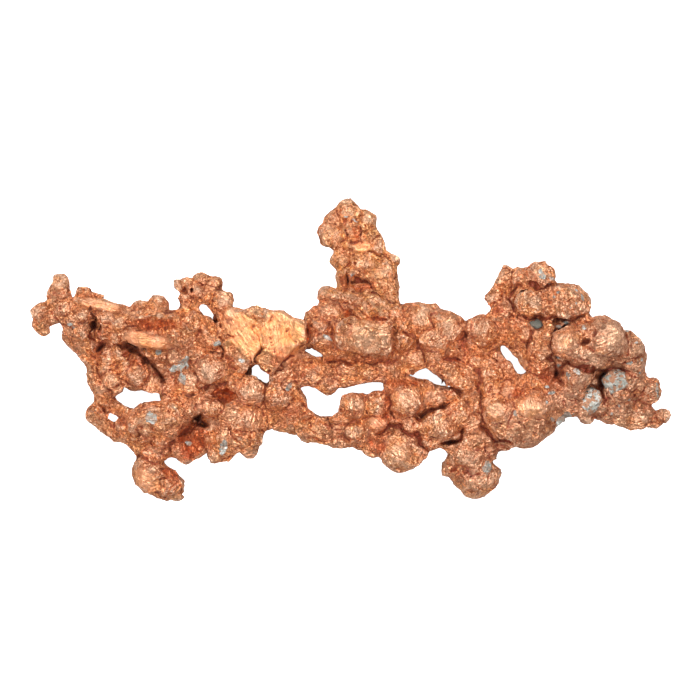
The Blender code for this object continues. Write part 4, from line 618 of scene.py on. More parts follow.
LINES: tuple[Line, ...] = (
    Line(Stroke.CREASE, 0.32, 1.6, ((-32.3, 5.0), (-31.7, 4.3), (-32.0, 3.2), (-32.4, 1.8), (-31.4, 0.9), (-31.3, -0.3))),
    Line(Stroke.CREASE, 0.32, 1.4, ((-29.6, 0.2), (-28.6, 0.8), (-27.6, 0.4), (-27.2, -0.6), (-26.0, -1.0), (-25.2, -1.9), (-24.1, -2.4), (-23.5, -4.3))),
    Line(Stroke.CREASE, 0.26, 1.8, ((-17.5, -0.1), (-16.6, -0.5), (-15.8, -0.8), (-14.8, -1.4))),
    Line(Stroke.CREASE, 0.24, 2.4, ((-11.0, 0.6), (-11.3, -0.5), (-11.7, -1.4))),
    Line(Stroke.CREASE, 0.24, 1.6, ((-12.5, -1.2), (-12.0, -1.5))),
    Line(Stroke.SEAM, 0.3, 0.5, ((-12.0, 4.3), (-11.9, 2.2), (-11.1, 0.7))),
    Line(Stroke.CREASE, 0.3, 1.2, ((-16.2, 3.2), (-15.3, 2.4), (-14.8, 2.0))),
    Line(Stroke.SEAM, 0.45, 1.2, ((-15.1, -0.9), (-14.9, -2.2), (-13.8, -2.9))),
    Line(Stroke.CREASE, 0.3, 1.6, ((-10.2, -3.6), (-9.6, -2.7), (-8.6, -2.3), (-8.2, -1.4), (-7.3, -1.1))),
    Line(Stroke.SEAM, 0.5, 1.2, ((-19.4, -1.4), (-19.0, -4.3), (-16.8, -4.8), (-15.2, -3.6))),
    Line(Stroke.SEAM, 0.4, 1.2, ((-10.7, -4.7), (-10.6, -6.6))),
    Line(Stroke.SEAM, 0.4, 1.0, ((-15.0, -10.0), (-13.9, -12.0))),
    Line(Stroke.CREASE, 0.35, 1.6, ((-18.8, -8.0), (-20.6, -10.2), (-22.0, -11.4), (-22.2, -12.8))),
    Line(Stroke.CREASE, 0.35, 1.6, ((-31.4, -6.6), (-30.8, -7.2), (-30.2, -7.9))),
    Line(Stroke.SEAM, 0.3, 0.8, ((-2.0, 0.2), (-0.4, -0.1), (1.0, -0.5), (4.9, -0.6))),
    Line(Stroke.CREASE, 0.35, 1.2, ((-3.0, -1.2), (0.0, -1.5), (4.4, -1.5), (6.2, -1.4))),
    Line(Stroke.CREASE, 0.3, 1.0, ((5.7, 3.6), (5.6, 0.6), (5.8, -0.8))),
    Line(Stroke.SEAM, 0.3, 0.7, ((-1.9, 3.6), (-2.0, 1.4))),
    Line(Stroke.CREASE, 0.32, 3.2, ((-0.4, 9.6), (-0.3, 8.6), (-0.5, 7.4))),
    Line(Stroke.CREASE, 0.35, 3.2, ((0.3, 8.5), (1.6, 8.6), (2.3, 8.2))),
    Line(Stroke.CREASE, 0.35, 1.6, ((2.3, 8.0), (2.9, 7.3), (3.9, 6.4))),
    Line(Stroke.CREASE, 0.3, 1.8, ((4.9, 12.0), (4.75, 11.2))),
    Line(Stroke.CREASE, 0.25, 0.9, ((3.4, 11.1), (4.1, 11.1))),
    Line(Stroke.CREASE, 0.3, 1.3, ((-0.7, 10.5), (0.2, 10.8))),
    Line(Stroke.SEAM, 0.45, 0.9, ((-0.6, 5.1), (-0.3, 4.4), (0.3, 4.0))),
    Line(Stroke.CREASE, 0.4, 1.3, ((2.3, 4.0), (3.2, 3.6), (4.5, 3.8))),
    Line(Stroke.SEAM, 0.3, 0.9, ((-2.1, 6.3), (-0.5, 6.1), (1.0, 5.7), (1.8, 4.9))),
    Line(Stroke.SEAM, 0.3, 0.9, ((-1.0, 15.6), (-0.6, 14.6), (0.0, 13.8), (-1.6, 12.6))),
    Line(Stroke.CREASE, 0.4, 1.0, ((0.7, 15.5), (0.9, 14.7), (1.0, 14.0))),
    Line(Stroke.SEAM, 0.3, 0.8, ((-1.8, 17.2), (-0.9, 16.0), (0.8, 16.0), (1.2, 17.2))),
    Line(Stroke.SEAM, 0.4, 0.9, ((-0.2, 12.2), (1.4, 12.0), (4.2, 11.8))),
    Line(Stroke.SEAM, 0.4, 1.2, ((10.6, 5.3), (10.2, 3.6), (10.4, 2.6), (9.2, 2.2))),
    Line(Stroke.CREASE, 0.5, 1.6, ((14.4, 3.6), (14.3, 2.0), (13.2, 0.6))),
    Line(Stroke.CREASE, 0.35, 1.3, ((8.7, 0.9), (9.0, -0.6), (9.3, -1.8))),
    Line(Stroke.SEAM, 0.35, 1.0, ((8.6, 0.2), (7.6, 1.9), (6.6, 2.4))),
    Line(Stroke.CREASE, 0.4, 1.5, ((12.0, -1.1), (13.0, -1.2), (14.2, -1.5))),
    Line(Stroke.SEAM, 0.4, 1.4, ((15.6, -2.0), (16.1, -3.4), (16.2, -5.2), (16.6, -7.6), (16.5, -9.0))),
    Line(Stroke.CREASE, 0.55, 2.8, ((8.0, -8.8), (9.0, -7.9), (10.4, -7.4), (12.2, -7.0))),
    Line(Stroke.CREASE, 0.4, 1.4, ((5.1, -5.4), (4.9, -7.6), (5.9, -8.5))),
    Line(Stroke.SEAM, 0.35, 1.0, ((2.2, -8.3), (4.4, -8.2))),
    Line(Stroke.CREASE, 0.5, 2.0, ((3.8, -10.6), (5.2, -10.0), (7.0, -9.9), (8.2, -10.8), (9.6, -12.2))),
    Line(Stroke.CREASE, 0.5, 3.2, ((11.9, -12.0), (12.8, -11.4), (13.7, -10.9), (14.2, -9.9))),
    Line(Stroke.SEAM, 0.4, 1.2, ((12.6, -14.8), (14.0, -14.9), (15.4, -15.5), (16.4, -15.2))),
    Line(Stroke.SEAM, 0.4, 1.0, ((16.6, -12.2), (17.0, -13.4), (16.4, -14.2))),
    Line(Stroke.SEAM, 0.4, 1.0, ((20.3, -5.6), (20.5, -7.6), (19.6, -9.2))),
    Line(Stroke.CREASE, 0.35, 0.9, ((16.5, -8.6), (18.4, -9.6), (20.6, -9.6), (23.6, -9.0))),
    Line(Stroke.CREASE, 0.5, 2.2, ((16.4, -9.4), (17.2, -10.9), (18.6, -11.4), (20.2, -11.9))),
    Line(Stroke.CREASE, 0.5, 2.0, ((20.2, 4.2), (20.4, 5.6), (20.3, 7.2), (21.4, 7.9), (22.6, 8.0), (24.4, 7.8), (25.4, 8.4))),
    Line(Stroke.CREASE, 0.4, 2.2, ((21.2, 4.4), (22.4, 4.0), (24.5, 4.0), (27.4, 3.8), (29.2, 4.0))),
    Line(Stroke.SEAM, 0.3, 1.0, ((19.9, 9.8), (19.8, 8.4), (20.0, 7.2))),
    Line(Stroke.CREASE, 0.45, 2.0, ((25.4, 2.9), (25.1, 0.2), (25.6, -2.0), (26.4, -4.0))),
    Line(Stroke.CREASE, 0.4, 1.4, ((22.3, 2.4), (22.3, 0.4), (22.8, -1.6))),
    Line(Stroke.CREASE, 0.45, 1.8, ((26.4, -1.9), (28.0, -2.0), (30.2, -2.6))),
    Line(Stroke.CREASE, 0.5, 2.2, ((30.2, -2.8), (31.6, -2.4), (33.4, -2.0), (34.6, -2.3))),
    Line(Stroke.CREASE, 0.45, 1.8, ((29.4, -4.6), (30.8, -4.9), (31.8, -5.8), (32.0, -6.4))),
    Line(Stroke.SEAM, 0.4, 1.2, ((34.2, 2.4), (34.4, 0.6), (34.2, -1.0))),
    Line(Stroke.SEAM, 0.3, 0.9, ((-28.0, -11.4), (-25.6, -11.4), (-22.9, -12.0))),
    Line(Stroke.SEAM, 0.3, 0.9, ((-27.0, -9.7), (-25.4, -9.6), (-24.2, -10.0))),
    Line(Stroke.SEAM, 0.4, 1.0, ((-26.8, -13.4), (-24.6, -14.0), (-23.4, -13.9))),
    Line(Stroke.SEAM, 0.35, 0.9, ((-23.6, -14.6), (-23.2, -16.0), (-24.0, -17.8))),
    Line(Stroke.SEAM, 0.4, 1.0, ((-2.6, -9.5), (-0.2, -9.3), (1.4, -9.0))),
    Line(Stroke.SEAM, 0.3, 0.8, ((-6.0, -10.6), (-3.0, -11.3), (1.6, -11.2))),
    Line(Stroke.SEAM, 0.3, 0.7, ((-6.4, -9.0), (-4.8, -8.6), (-3.0, -8.8))),
    Line(Stroke.RIDGE, 0.3, 0.5, ((-28.2, 4.15), (-26.0, 4.25), (-24.0, 4.15), (-22.0, 4.05))),
)

FLATS: tuple[Flat, ...] = (
    Flat(-28.8, 3.4, 0.8), Flat(-15.8, 6.3, 0.95), Flat(-17.3, -2.5, 1.5, 12, 200), Flat(-12.5, -5.1, 1.4, 10, 120),
    Flat(-8.0, -2.8, 0.8), Flat(2.4, 1.6, 2.4, 8, 270), Flat(9.0, 4.1, 1.4, 6, 120), Flat(12.0, 3.0, 1.3, 6, 60),
    Flat(16.5, 2.6, 1.4, 8, 90), Flat(3.4, -9.1, 0.9), Flat(7.0, -6.3, 1.4, 8, 100), Flat(6.0, -12.4, 1.4, 10, 180),
    Flat(18.4, -7.6, 1.3, 10, 200), Flat(23.2, -6.6, 1.0, 14, 60), Flat(21.6, -7.2, 0.8, 14, 200),
    Flat(27.0, 0.9, 1.4, 10, 200), Flat(32.0, 1.6, 1.8, 10, 60), Flat(14.3, -13.2, 1.2), Flat(11.0, -9.4, 1.3, 8, 120),
    Flat(0.6, -6.6, 1.0), Flat(23.0, 6.0, 1.0, 10, 90), Flat(29.2, -0.6, 1.0, 6, 250), Flat(-33.2, 4.5, 0.5),
    Flat(-33.5, 2.3, 0.5), Flat(-29.8, -3.7, 0.6), Flat(3.2, 6.0, 0.6), Flat(24.4, 1.7, 0.5), Flat(17.9, -15.9, 0.9, 10, 0),
    Flat(-2.6, 5.0, 0.9), Flat(11.0, 0.9, 0.9, 12, 250), Flat(30.6, 2.6, 0.8), Flat(-24.9, -15.0, 0.6), Flat(-31.2, 5.6, 0.6),
)

# Grey-green and white mineral left on the copper.
MINERAL: tuple[Stain, ...] = (
    Stain(-24.0, -0.3, 0.5, 0.35), Stain(-21.6, -2.1, 1.3, 0.6, 20), Stain(-20.5, -1.3, 0.7, 0.35, 60),
    Stain(-21.0, -3.5, 0.45, 0.8, 20), Stain(-16.5, 0.7, 0.5, 0.4), Stain(-13.5, -1.4, 0.4, 0.3),
    Stain(-7.7, -4.7, 0.6, 0.35, 40), Stain(-24.8, -8.6, 0.8, 0.8), Stain(-15.8, -12.0, 0.45, 1.0, -10),
    Stain(-0.4, 16.7, 0.35, 0.3), Stain(0.6, 16.2, 0.5, 0.2, -30), Stain(0.4, 9.4, 0.3, 0.25),
    Stain(-2.8, 1.5, 0.7, 0.25, -35), Stain(17.2, -14.8, 0.8, 0.8), Stain(24.1, 9.2, 0.35, 0.3, -20), Stain(25.2, 8.9, 0.45, 0.25, -20),
    Stain(23.8, 9.9, 0.25, 0.35), Stain(24.8, 8.3, 0.3, 0.15), Stain(29.0, 6.6, 0.3, 0.4), Stain(28.3, 7.4, 0.25, 0.25),
    Stain(26.0, 7.2, 0.35, 0.25), Stain(25.5, 6.6, 0.25, 0.2), Stain(27.6, 5.3, 0.35, 0.2), Stain(28.2, 5.9, 0.2, 0.2),
    Stain(35.7, 0.9, 0.35, 0.25), Stain(36.4, -1.2, 0.2, 0.3), Stain(36.2, -2.8, 0.3, 0.2), Stain(34.6, 2.4, 0.3, 0.2),
    Stain(26.0, -0.9, 0.3, 0.3), Stain(26.1, -1.9, 0.25, 0.35), Stain(25.2, -5.3, 0.5, 0.25), Stain(24.6, -4.6, 0.3, 0.2),
    Stain(25.3, -8.6, 0.5, 0.25, -45), Stain(24.6, -6.6, 0.25, 0.4), Stain(20.6, -7.8, 0.25, 0.4), Stain(26.0, 2.9, 0.4, 0.25),
    Stain(33.6, -7.0, 0.3, 0.3), Stain(34.9, -6.2, 0.3, 0.3), Stain(32.6, -8.0, 0.3, 0.2),
    Stain(26.8, -8.6, 0.6, 1.8, -45), Stain(28.3, -2.5, 0.4, 0.5), Stain(27.3, -3.2, 0.4, 0.45),
    Stain(27.0, 3.4, 0.4, 0.35), Stain(29.3, 2.8, 0.35, 0.4), Stain(34.9, -1.7, 0.5, 0.4), Stain(38.4, -5.0, 0.25, 0.8),
    Stain(-35.0, 3.2, 0.4, 0.3), Stain(-34.6, 2.8, 0.25, 0.2), Stain(-20.3, -11.6, 0.5, 0.4),
)

# Where the copper is painted pale: partly worn places, partly painted highlights, such as the streak below the hollow
# at 1.5, 12.2.
PALES_AND_HIGHLIGHTS: tuple[Stain, ...] = (
    Stain(1.4, 13.0, 1.3, 0.5, 8, 0.8), Stain(1.5, 11.8, 0.9, 0.25, 0, 0.5),
    Stain(-14.0, 3.0, 2.4, 1.1, -55, 0.4), Stain(-9.6, 1.4, 3.4, 1.3, -78, 0.45), Stain(-7.4, 3.0, 1.6, 0.7, -30, 0.31),
    Stain(2.4, 1.7, 2.8, 1.9, -8, 0.7), Stain(-0.9, 1.8, 1.0, 1.6, 0, 0.37), Stain(28.8, -0.9, 2.2, 0.5, -15, 0.56),
    Stain(-31.2, 5.7, 2.8, 0.5, -12, 0.56), Stain(-25.5, 1.5, 2.4, 0.6, -8, 0.3), Stain(-13.4, -0.6, 1.3, 1.3, 0, 0.37),
    Stain(-25.0, 4.6, 3.0, 0.4, 0, 0.37), Stain(9.0, 4.2, 1.8, 1.3, 0, 0.31), Stain(22.8, -7.2, 1.4, 1.6, 0, 0.43),
    Stain(-15.8, 6.3, 1.0, 1.1, 0, 0.43), Stain(-24.0, -8.2, 2.6, 1.2, -20, 0.25), Stain(-0.4, 6.6, 2.2, 0.4, -8, 0.9), Stain(1.8, 5.6, 0.4, 0.9, 25, 0.8), Stain(3.2, 6.0, 0.9, 0.8, 0, 0.8),
    Stain(-31.3, -5.0, 0.5, 1.0, 20, 0.43), Stain(-29.3, -4.6, 0.7, 1.0, 0, 0.43), Stain(-1.0, -10.0, 1.4, 0.6, 0, 0.31),
    Stain(-2.6, -3.2, 1.2, 1.2, 0, 0.31), Stain(4.6, -2.4, 1.4, 0.7, 0, 0.25), Stain(-36.9, 6.9, 0.5, 0.4, 0, 0.43),
    Stain(13.0, -8.6, 2.2, 0.8, 30, 0.25), Stain(-3.0, 7.0, 0.7, 0.7, 0, 0.37), Stain(35.4, 0.8, 0.8, 0.8, 0, 0.19),
)

# Where the copper is painted a deep red: listed patches, most of them in hollows and creases, partly the copper's own
# red and partly painted shade there.
REDS_AND_SHADE: tuple[Stain, ...] = (
    Stain(-24.6, 3.2, 2.8, 0.8, -3, 0.9), Stain(1.5, 13.4, 1.4, 0.3, 0, 0.3), Stain(0.8, 14.8, 0.5, 0.9, 15, 1.0),
    Stain(-0.3, 4.5, 0.5, 0.6, 0, 1.0), Stain(3.4, 3.8, 1.2, 0.5, 0, 1.0), Stain(-5.1, 2.4, 0.5, 1.6, 0, 1.0),
    Stain(12.8, -1.1, 1.2, 0.5, -10, 1.0), Stain(-15.7, -5.6, 2.4, 1.3, 0, 1.0), Stain(-19.8, -11.0, 2.4, 2.6, 0, 0.8),
    Stain(14.2, 1.4, 0.8, 1.6, 0, 0.8), Stain(3.2, -11.8, 1.3, 1.2, 0, 0.9), Stain(6.6, -4.1, 2.6, 0.5, 0, 0.9),
    Stain(-22.4, -15.6, 1.5, 1.0, -40, 0.8), Stain(20.9, -5.4, 0.8, 0.7, 0, 0.9), Stain(-0.4, 8.2, 0.9, 1.4, 0, 0.7),
    Stain(1.8, 7.9, 1.4, 0.8, 0, 0.7), Stain(-7.2, -7.4, 1.2, 0.9, 0, 0.6), Stain(4.6, -6.9, 0.5, 1.6, 0, 0.8),
    Stain(-27.0, -0.6, 2.4, 1.0, -35, 0.7), Stain(-31.6, 1.0, 0.8, 2.4, 0, 0.6), Stain(25.0, -3.6, 1.6, 0.9, 0, 0.7),
    Stain(18.6, 4.9, 0.9, 0.8, 0, 0.6), Stain(-8.8, -1.0, 1.6, 0.8, 45, 0.6), Stain(1.0, -1.3, 5.0, 0.5, 0, 0.5),
    Stain(4.0, -9.6, 2.0, 1.0, 30, 0.5), Stain(30.8, 5.0, 3.0, 0.7, 0, 0.4), Stain(-28.6, -9.0, 0.9, 0.6, 0, 0.7),
)

# How the copper leans in colour: 1 golden, -1 dull brown.
TONES: tuple[Stain, ...] = (
    Stain(1.5, 13.1, 1.6, 0.9, 0, 0.8),
    Stain(1.5, 11.5, 6.0, 7.0, 0, 0.7), Stain(-10.5, 2.0, 6.0, 4.0, 0, 0.6), Stain(33.0, -3.0, 9.0, 8.0, 0, -0.8),
    Stain(24.0, -11.0, 6.0, 3.0, 0, -0.6), Stain(15.5, -14.5, 4.0, 4.5, 0, -0.5), Stain(2.3, 1.5, 4.0, 3.0, 0, 0.4),
    Stain(-37.0, 6.0, 3.0, 4.0, 0, -0.4), Stain(-20.5, -2.0, 4.0, 3.5, 0, -0.7),
)


# --- Helpers ----------------------------------------------------------------------------------------------


def pick_only(obj: bpy.types.Object) -> None:
    """Deselect everything, then select obj and make it the active object."""
    bpy.ops.object.select_all(action="DESELECT")
    obj.select_set(True)
    bpy.context.view_layer.objects.active = obj


def join_all(parts: Sequence[bpy.types.Object], name: str) -> bpy.types.Object:
    """Join objects into one.

    Args:
        parts: The objects, of which the first takes the others in.
        name: The joined object's new name.

    Returns:
        The joined object.
    """
    pick_only(parts[0])
    for part in parts:
        part.select_set(True)
    bpy.ops.object.join()
    parts[0].name = parts[0].data.name = name
    return parts[0]


def apply_modifier(obj: bpy.types.Object, kind: str, **settings: Any) -> None:
    """Add a modifier to obj and apply it.

    Args:
        obj: The object that changes.
        kind: The modifier's type.
        **settings: What to set on the modifier.
    """
    pick_only(obj)
    modifier = obj.modifiers.new(kind.lower(), kind)
    for key, value in settings.items():
        setattr(modifier, key, value)
    bpy.ops.object.modifier_apply(modifier=modifier.name)


def merged_copy(node: bpy.types.Object, name: str) -> bpy.types.Object:
    """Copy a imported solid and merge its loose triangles.

    Args:
        node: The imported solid's object.
        name: The copy's name.

    Returns:
        The copy, with a mesh of its own.
    """
    copy = bpy.data.objects.new(name, node.data.copy())
    bpy.context.scene.collection.objects.link(copy)
    copy.data.materials.clear()
    pick_only(copy)
    bpy.ops.object.mode_set(mode="EDIT")
    bpy.ops.mesh.select_all(action="SELECT")
    bpy.ops.mesh.remove_doubles(threshold=1e-6)
    bpy.ops.object.mode_set(mode="OBJECT")
    return copy


def smooth_step(value: np.ndarray, low: float, high: float) -> np.ndarray:
    """Values eased from 0 at low to 1 at high."""
    share = np.clip((value - low) / (high - low), 0.0, 1.0)
    return share * share * (3.0 - 2.0 * share)


def any_direction(draw: random.Random) -> Vector:
    """A direction drawn evenly from all round."""
    height, turn = draw.uniform(-1.0, 1.0), draw.uniform(0.0, 2.0 * math.pi)
    flat = math.sqrt(1.0 - height * height)
    return Vector((flat * math.cos(turn), flat * math.sin(turn), height))


# --- The surface, as arrays -------------------------------------------------------------------------------


class Surface:
    """An object's mesh as arrays in millimetres, to shape and to measure it all over at once."""

    def __init__(self, obj: bpy.types.Object) -> None:
        """Read the mesh of obj."""
        self.obj = obj
        mesh = obj.data
        count = len(mesh.vertices)
        flat = np.empty(count * 3, np.float32)
        mesh.vertices.foreach_get("co", flat)
        self.points = flat.reshape(-1, 3).astype(float) / MM + np.array(LAID_OUT_FROM)
        mesh.vertex_normals.foreach_get("vector", flat)
        self.normals = flat.reshape(-1, 3).astype(float)
        ends = np.empty(len(mesh.edges) * 2, np.int32)
        mesh.edges.foreach_get("vertices", ends)
        self.edges = ends.reshape(-1, 2)
        self.degree = np.bincount(self.edges.ravel(), minlength=count).astype(float)[:, None]
        self._tree: BVHTree | None = None

    def write(self) -> None:
        """Put the points back into the mesh."""
        flat = ((self.points - np.array(LAID_OUT_FROM)) * MM).astype(np.float32).ravel()
        self.obj.data.vertices.foreach_set("co", flat)
        self.obj.data.update()

    def blurred(self, values: np.ndarray, rounds: int) -> np.ndarray:
        """Values averaged with their neighbours, so many times over."""
        first, second = self.edges.T
        flat = values.ndim == 1
        values = values[:, None] if flat else values
        for _ in range(rounds):
            total = np.empty_like(values)
            for column in range(values.shape[1]):
                old = values[:, column]
                total[:, column] = np.bincount(first, old[second], len(old)) + np.bincount(second, old[first], len(old))
            values = 0.5 * values + 0.5 * total / np.maximum(self.degree, 1.0)
        return values[:, 0] if flat else values

    @property
    def tree(self) -> BVHTree:
        """A tree of the surface as it was first asked for, for casting rays."""
        if self._tree is None:
            polygons = [tuple(face.vertices) for face in self.obj.data.polygons]
            self._tree = BVHTree.FromPolygons(self.points.tolist(), polygons)
        return self._tree

    def seen_at(self, x: float, y: float) -> Vector | None:
        """The point of the surface that is seen from above at x, y."""
        return self.tree.ray_cast(Vector((x, y, 60.0)), Vector((0.0, 0.0, -1.0)))[0]

    def normal_near(self, place: Vector, reach: float) -> np.ndarray:
        """The mean direction that the surface faces within reach of a place."""
        near = np.linalg.norm(self.points - np.array(place), axis=1) < reach
        total = self.normals[near & (self.normals[:, 2] > 0.0)].sum(axis=0) if near.any() else np.array((0.0, 0.0, 1.0))
        return total / max(float(np.linalg.norm(total)), 1e-9)

    def paint(self, name: str, values: np.ndarray) -> None:
        """Keep values as an attribute of the mesh, which a finish can read."""
        layer = self.obj.data.attributes.new(name, "FLOAT", "POINT")
        layer.data.foreach_set("value", values.astype(np.float32))


@dataclass(frozen=True)
class Plan:
    """A grid over the upper side, to hold heights and other values as seen from above."""

    reach: tuple[float, float] = (42.0, 21.0)
    step: float = 0.125

    @property
    def shape(self) -> tuple[int, int]:
        """How many grid points there are along X and along Y."""
        return tuple(int(2 * reach / self.step) + 1 for reach in self.reach)

    @property
    def places(self) -> tuple[np.ndarray, np.ndarray]:
        """The X and the Y of each grid point."""
        lines = [np.arange(count) * self.step - reach for count, reach in zip(self.shape, self.reach)]
        return tuple(np.meshgrid(*lines, indexing="ij"))

    def heights(self, surface: Surface) -> np.ndarray:
        """The height of the surface as seen from above, or 0 where there is none."""
        found = np.zeros(self.shape)
        cast, down = surface.tree.ray_cast, Vector((0.0, 0.0, -1.0))
        across, along = self.places
        for index, (x, y) in enumerate(zip(across.ravel().tolist(), along.ravel().tolist())):
            hit = cast((x, y, 60.0), down)[0]
            if hit is not None:
                found.flat[index] = hit.z
        return found

    def rolled(self, heights: np.ndarray, radius: float) -> np.ndarray:
        """The heights that a ball of some radius reaches when it rolls over them."""
        count = int(radius / self.step)
        offsets = [(i, j) for i in range(-count, count + 1) for j in range(-count, count + 1) if i * i + j * j <= count * count]
        drops = {(i, j): math.sqrt(max(radius**2 - (i * i + j * j) * self.step**2, 0.0)) - radius for i, j in offsets}
        raised = np.full_like(heights, -60.0)
        for (i, j), drop in drops.items():
            raised = np.maximum(raised, np.roll(heights, (i, j), (0, 1)) + drop)
        lowered = np.full_like(heights, 60.0)
        for (i, j), drop in drops.items():
            lowered = np.minimum(lowered, np.roll(raised, (i, j), (0, 1)) - drop)
        return lowered

    def sampled(self, values: np.ndarray, points: np.ndarray) -> np.ndarray:
        """Values of the grid at some points, drawn evenly between the grid points."""
        spots = [np.clip((points[:, i] + self.reach[i]) / self.step, 0, self.shape[i] - 1.001) for i in (0, 1)]
        (i, u), (j, v) = ((spot.astype(int), spot - spot.astype(int)) for spot in spots)
        lower = values[i, j] * (1 - u) + values[i + 1, j] * u
        return lower * (1 - v) + (values[i, j + 1] * (1 - u) + values[i + 1, j + 1] * u) * v


# --- The copper -------------------------------------------------------------------------------------------


@dataclass
class Pebbles:
    """Unit balls with flats cut on them, from which every nodule is copied."""

    kinds: int = 9
    cuts: int = 18
    shallow: float = 0.91
    deep: float = 0.73
    seed: int = 5
    meshes: list[bpy.types.Mesh] = field(default_factory=list)

    def build(self) -> None:
        """Model each kind once."""
        draw = random.Random(self.seed)
        for _ in range(self.kinds):
            bpy.ops.object.select_all(action="DESELECT")
            bpy.ops.mesh.primitive_ico_sphere_add(subdivisions=4, radius=1.0)
            ball = bpy.context.object
            bpy.ops.object.mode_set(mode="EDIT")
            for _ in range(self.cuts):
                away = any_direction(draw)
                bpy.ops.mesh.select_all(action="SELECT")
                bpy.ops.mesh.bisect(
                    plane_co=away * draw.uniform(self.deep, self.shallow), plane_no=away, use_fill=True, clear_outer=True
                )
            bpy.ops.object.mode_set(mode="OBJECT")
            self.meshes.append(ball.data)
            bpy.data.objects.remove(ball)

    def nodule(self, row: Row, draw: random.Random) -> bpy.types.Object:
        """Copy one kind as a nodule.

        Args:
            row: x, y, z, rx, ry, rz and turn, of which the last three may be left out.
            draw: Chooses the kind and how it is rolled.

        Returns:
            The nodule, in the frame, with its place in its mesh.
        """
        x, y, z, rx, ry, rz, turn = (*row, 0.0, 0.0, 0.0)[:7]
        mesh = draw.choice(self.meshes).copy()
        mesh.transform(any_direction(draw).to_track_quat("Z", "Y").to_matrix().to_4x4())
        sizes = Matrix.Diagonal((rx, ry or rx, rz or rx, 1.0))
        place = Matrix.Translation(Vector((x, y, z)) - LAID_OUT_FROM) @ Matrix.Rotation(math.radians(turn), 4, "Z")
        mesh.transform(Matrix.Scale(MM, 4) @ place @ sizes)
        obj = bpy.data.objects.new("nodule", mesh)
        bpy.context.scene.collection.objects.link(obj)
        return obj


def prism(places: list[Vector], height: float, rim: float = 0.0) -> bpy.types.Object:
    """An upright block over an outline.

    Args:
        places: The outline's corners, in millimetres as they are laid out.
        height: How tall the block is.
        rim: How far its edges are broken.

    Returns:
        The block.
    """
    bpy.ops.object.select_all(action="DESELECT")
    bpy.ops.mesh.primitive_circle_add(vertices=len(places), radius=1.0, fill_type="NGON")
    block = bpy.context.object
    for vert, place in zip(block.data.vertices, places):
        vert.co = (place - LAID_OUT_FROM) * MM
    bpy.ops.object.mode_set(mode="EDIT")
    bpy.ops.mesh.select_all(action="SELECT")
    bpy.ops.mesh.extrude_region_move(TRANSFORM_OT_translate={"value": (0.0, 0.0, height * MM)})
    if rim:
        bpy.ops.mesh.bevel(offset=rim * MM, segments=2, affect="EDGES")
    bpy.ops.mesh.select_all(action="SELECT")
    bpy.ops.mesh.quads_convert_to_tris()
    bpy.ops.mesh.normals_make_consistent(inside=False)
    bpy.ops.object.mode_set(mode="OBJECT")
    return block


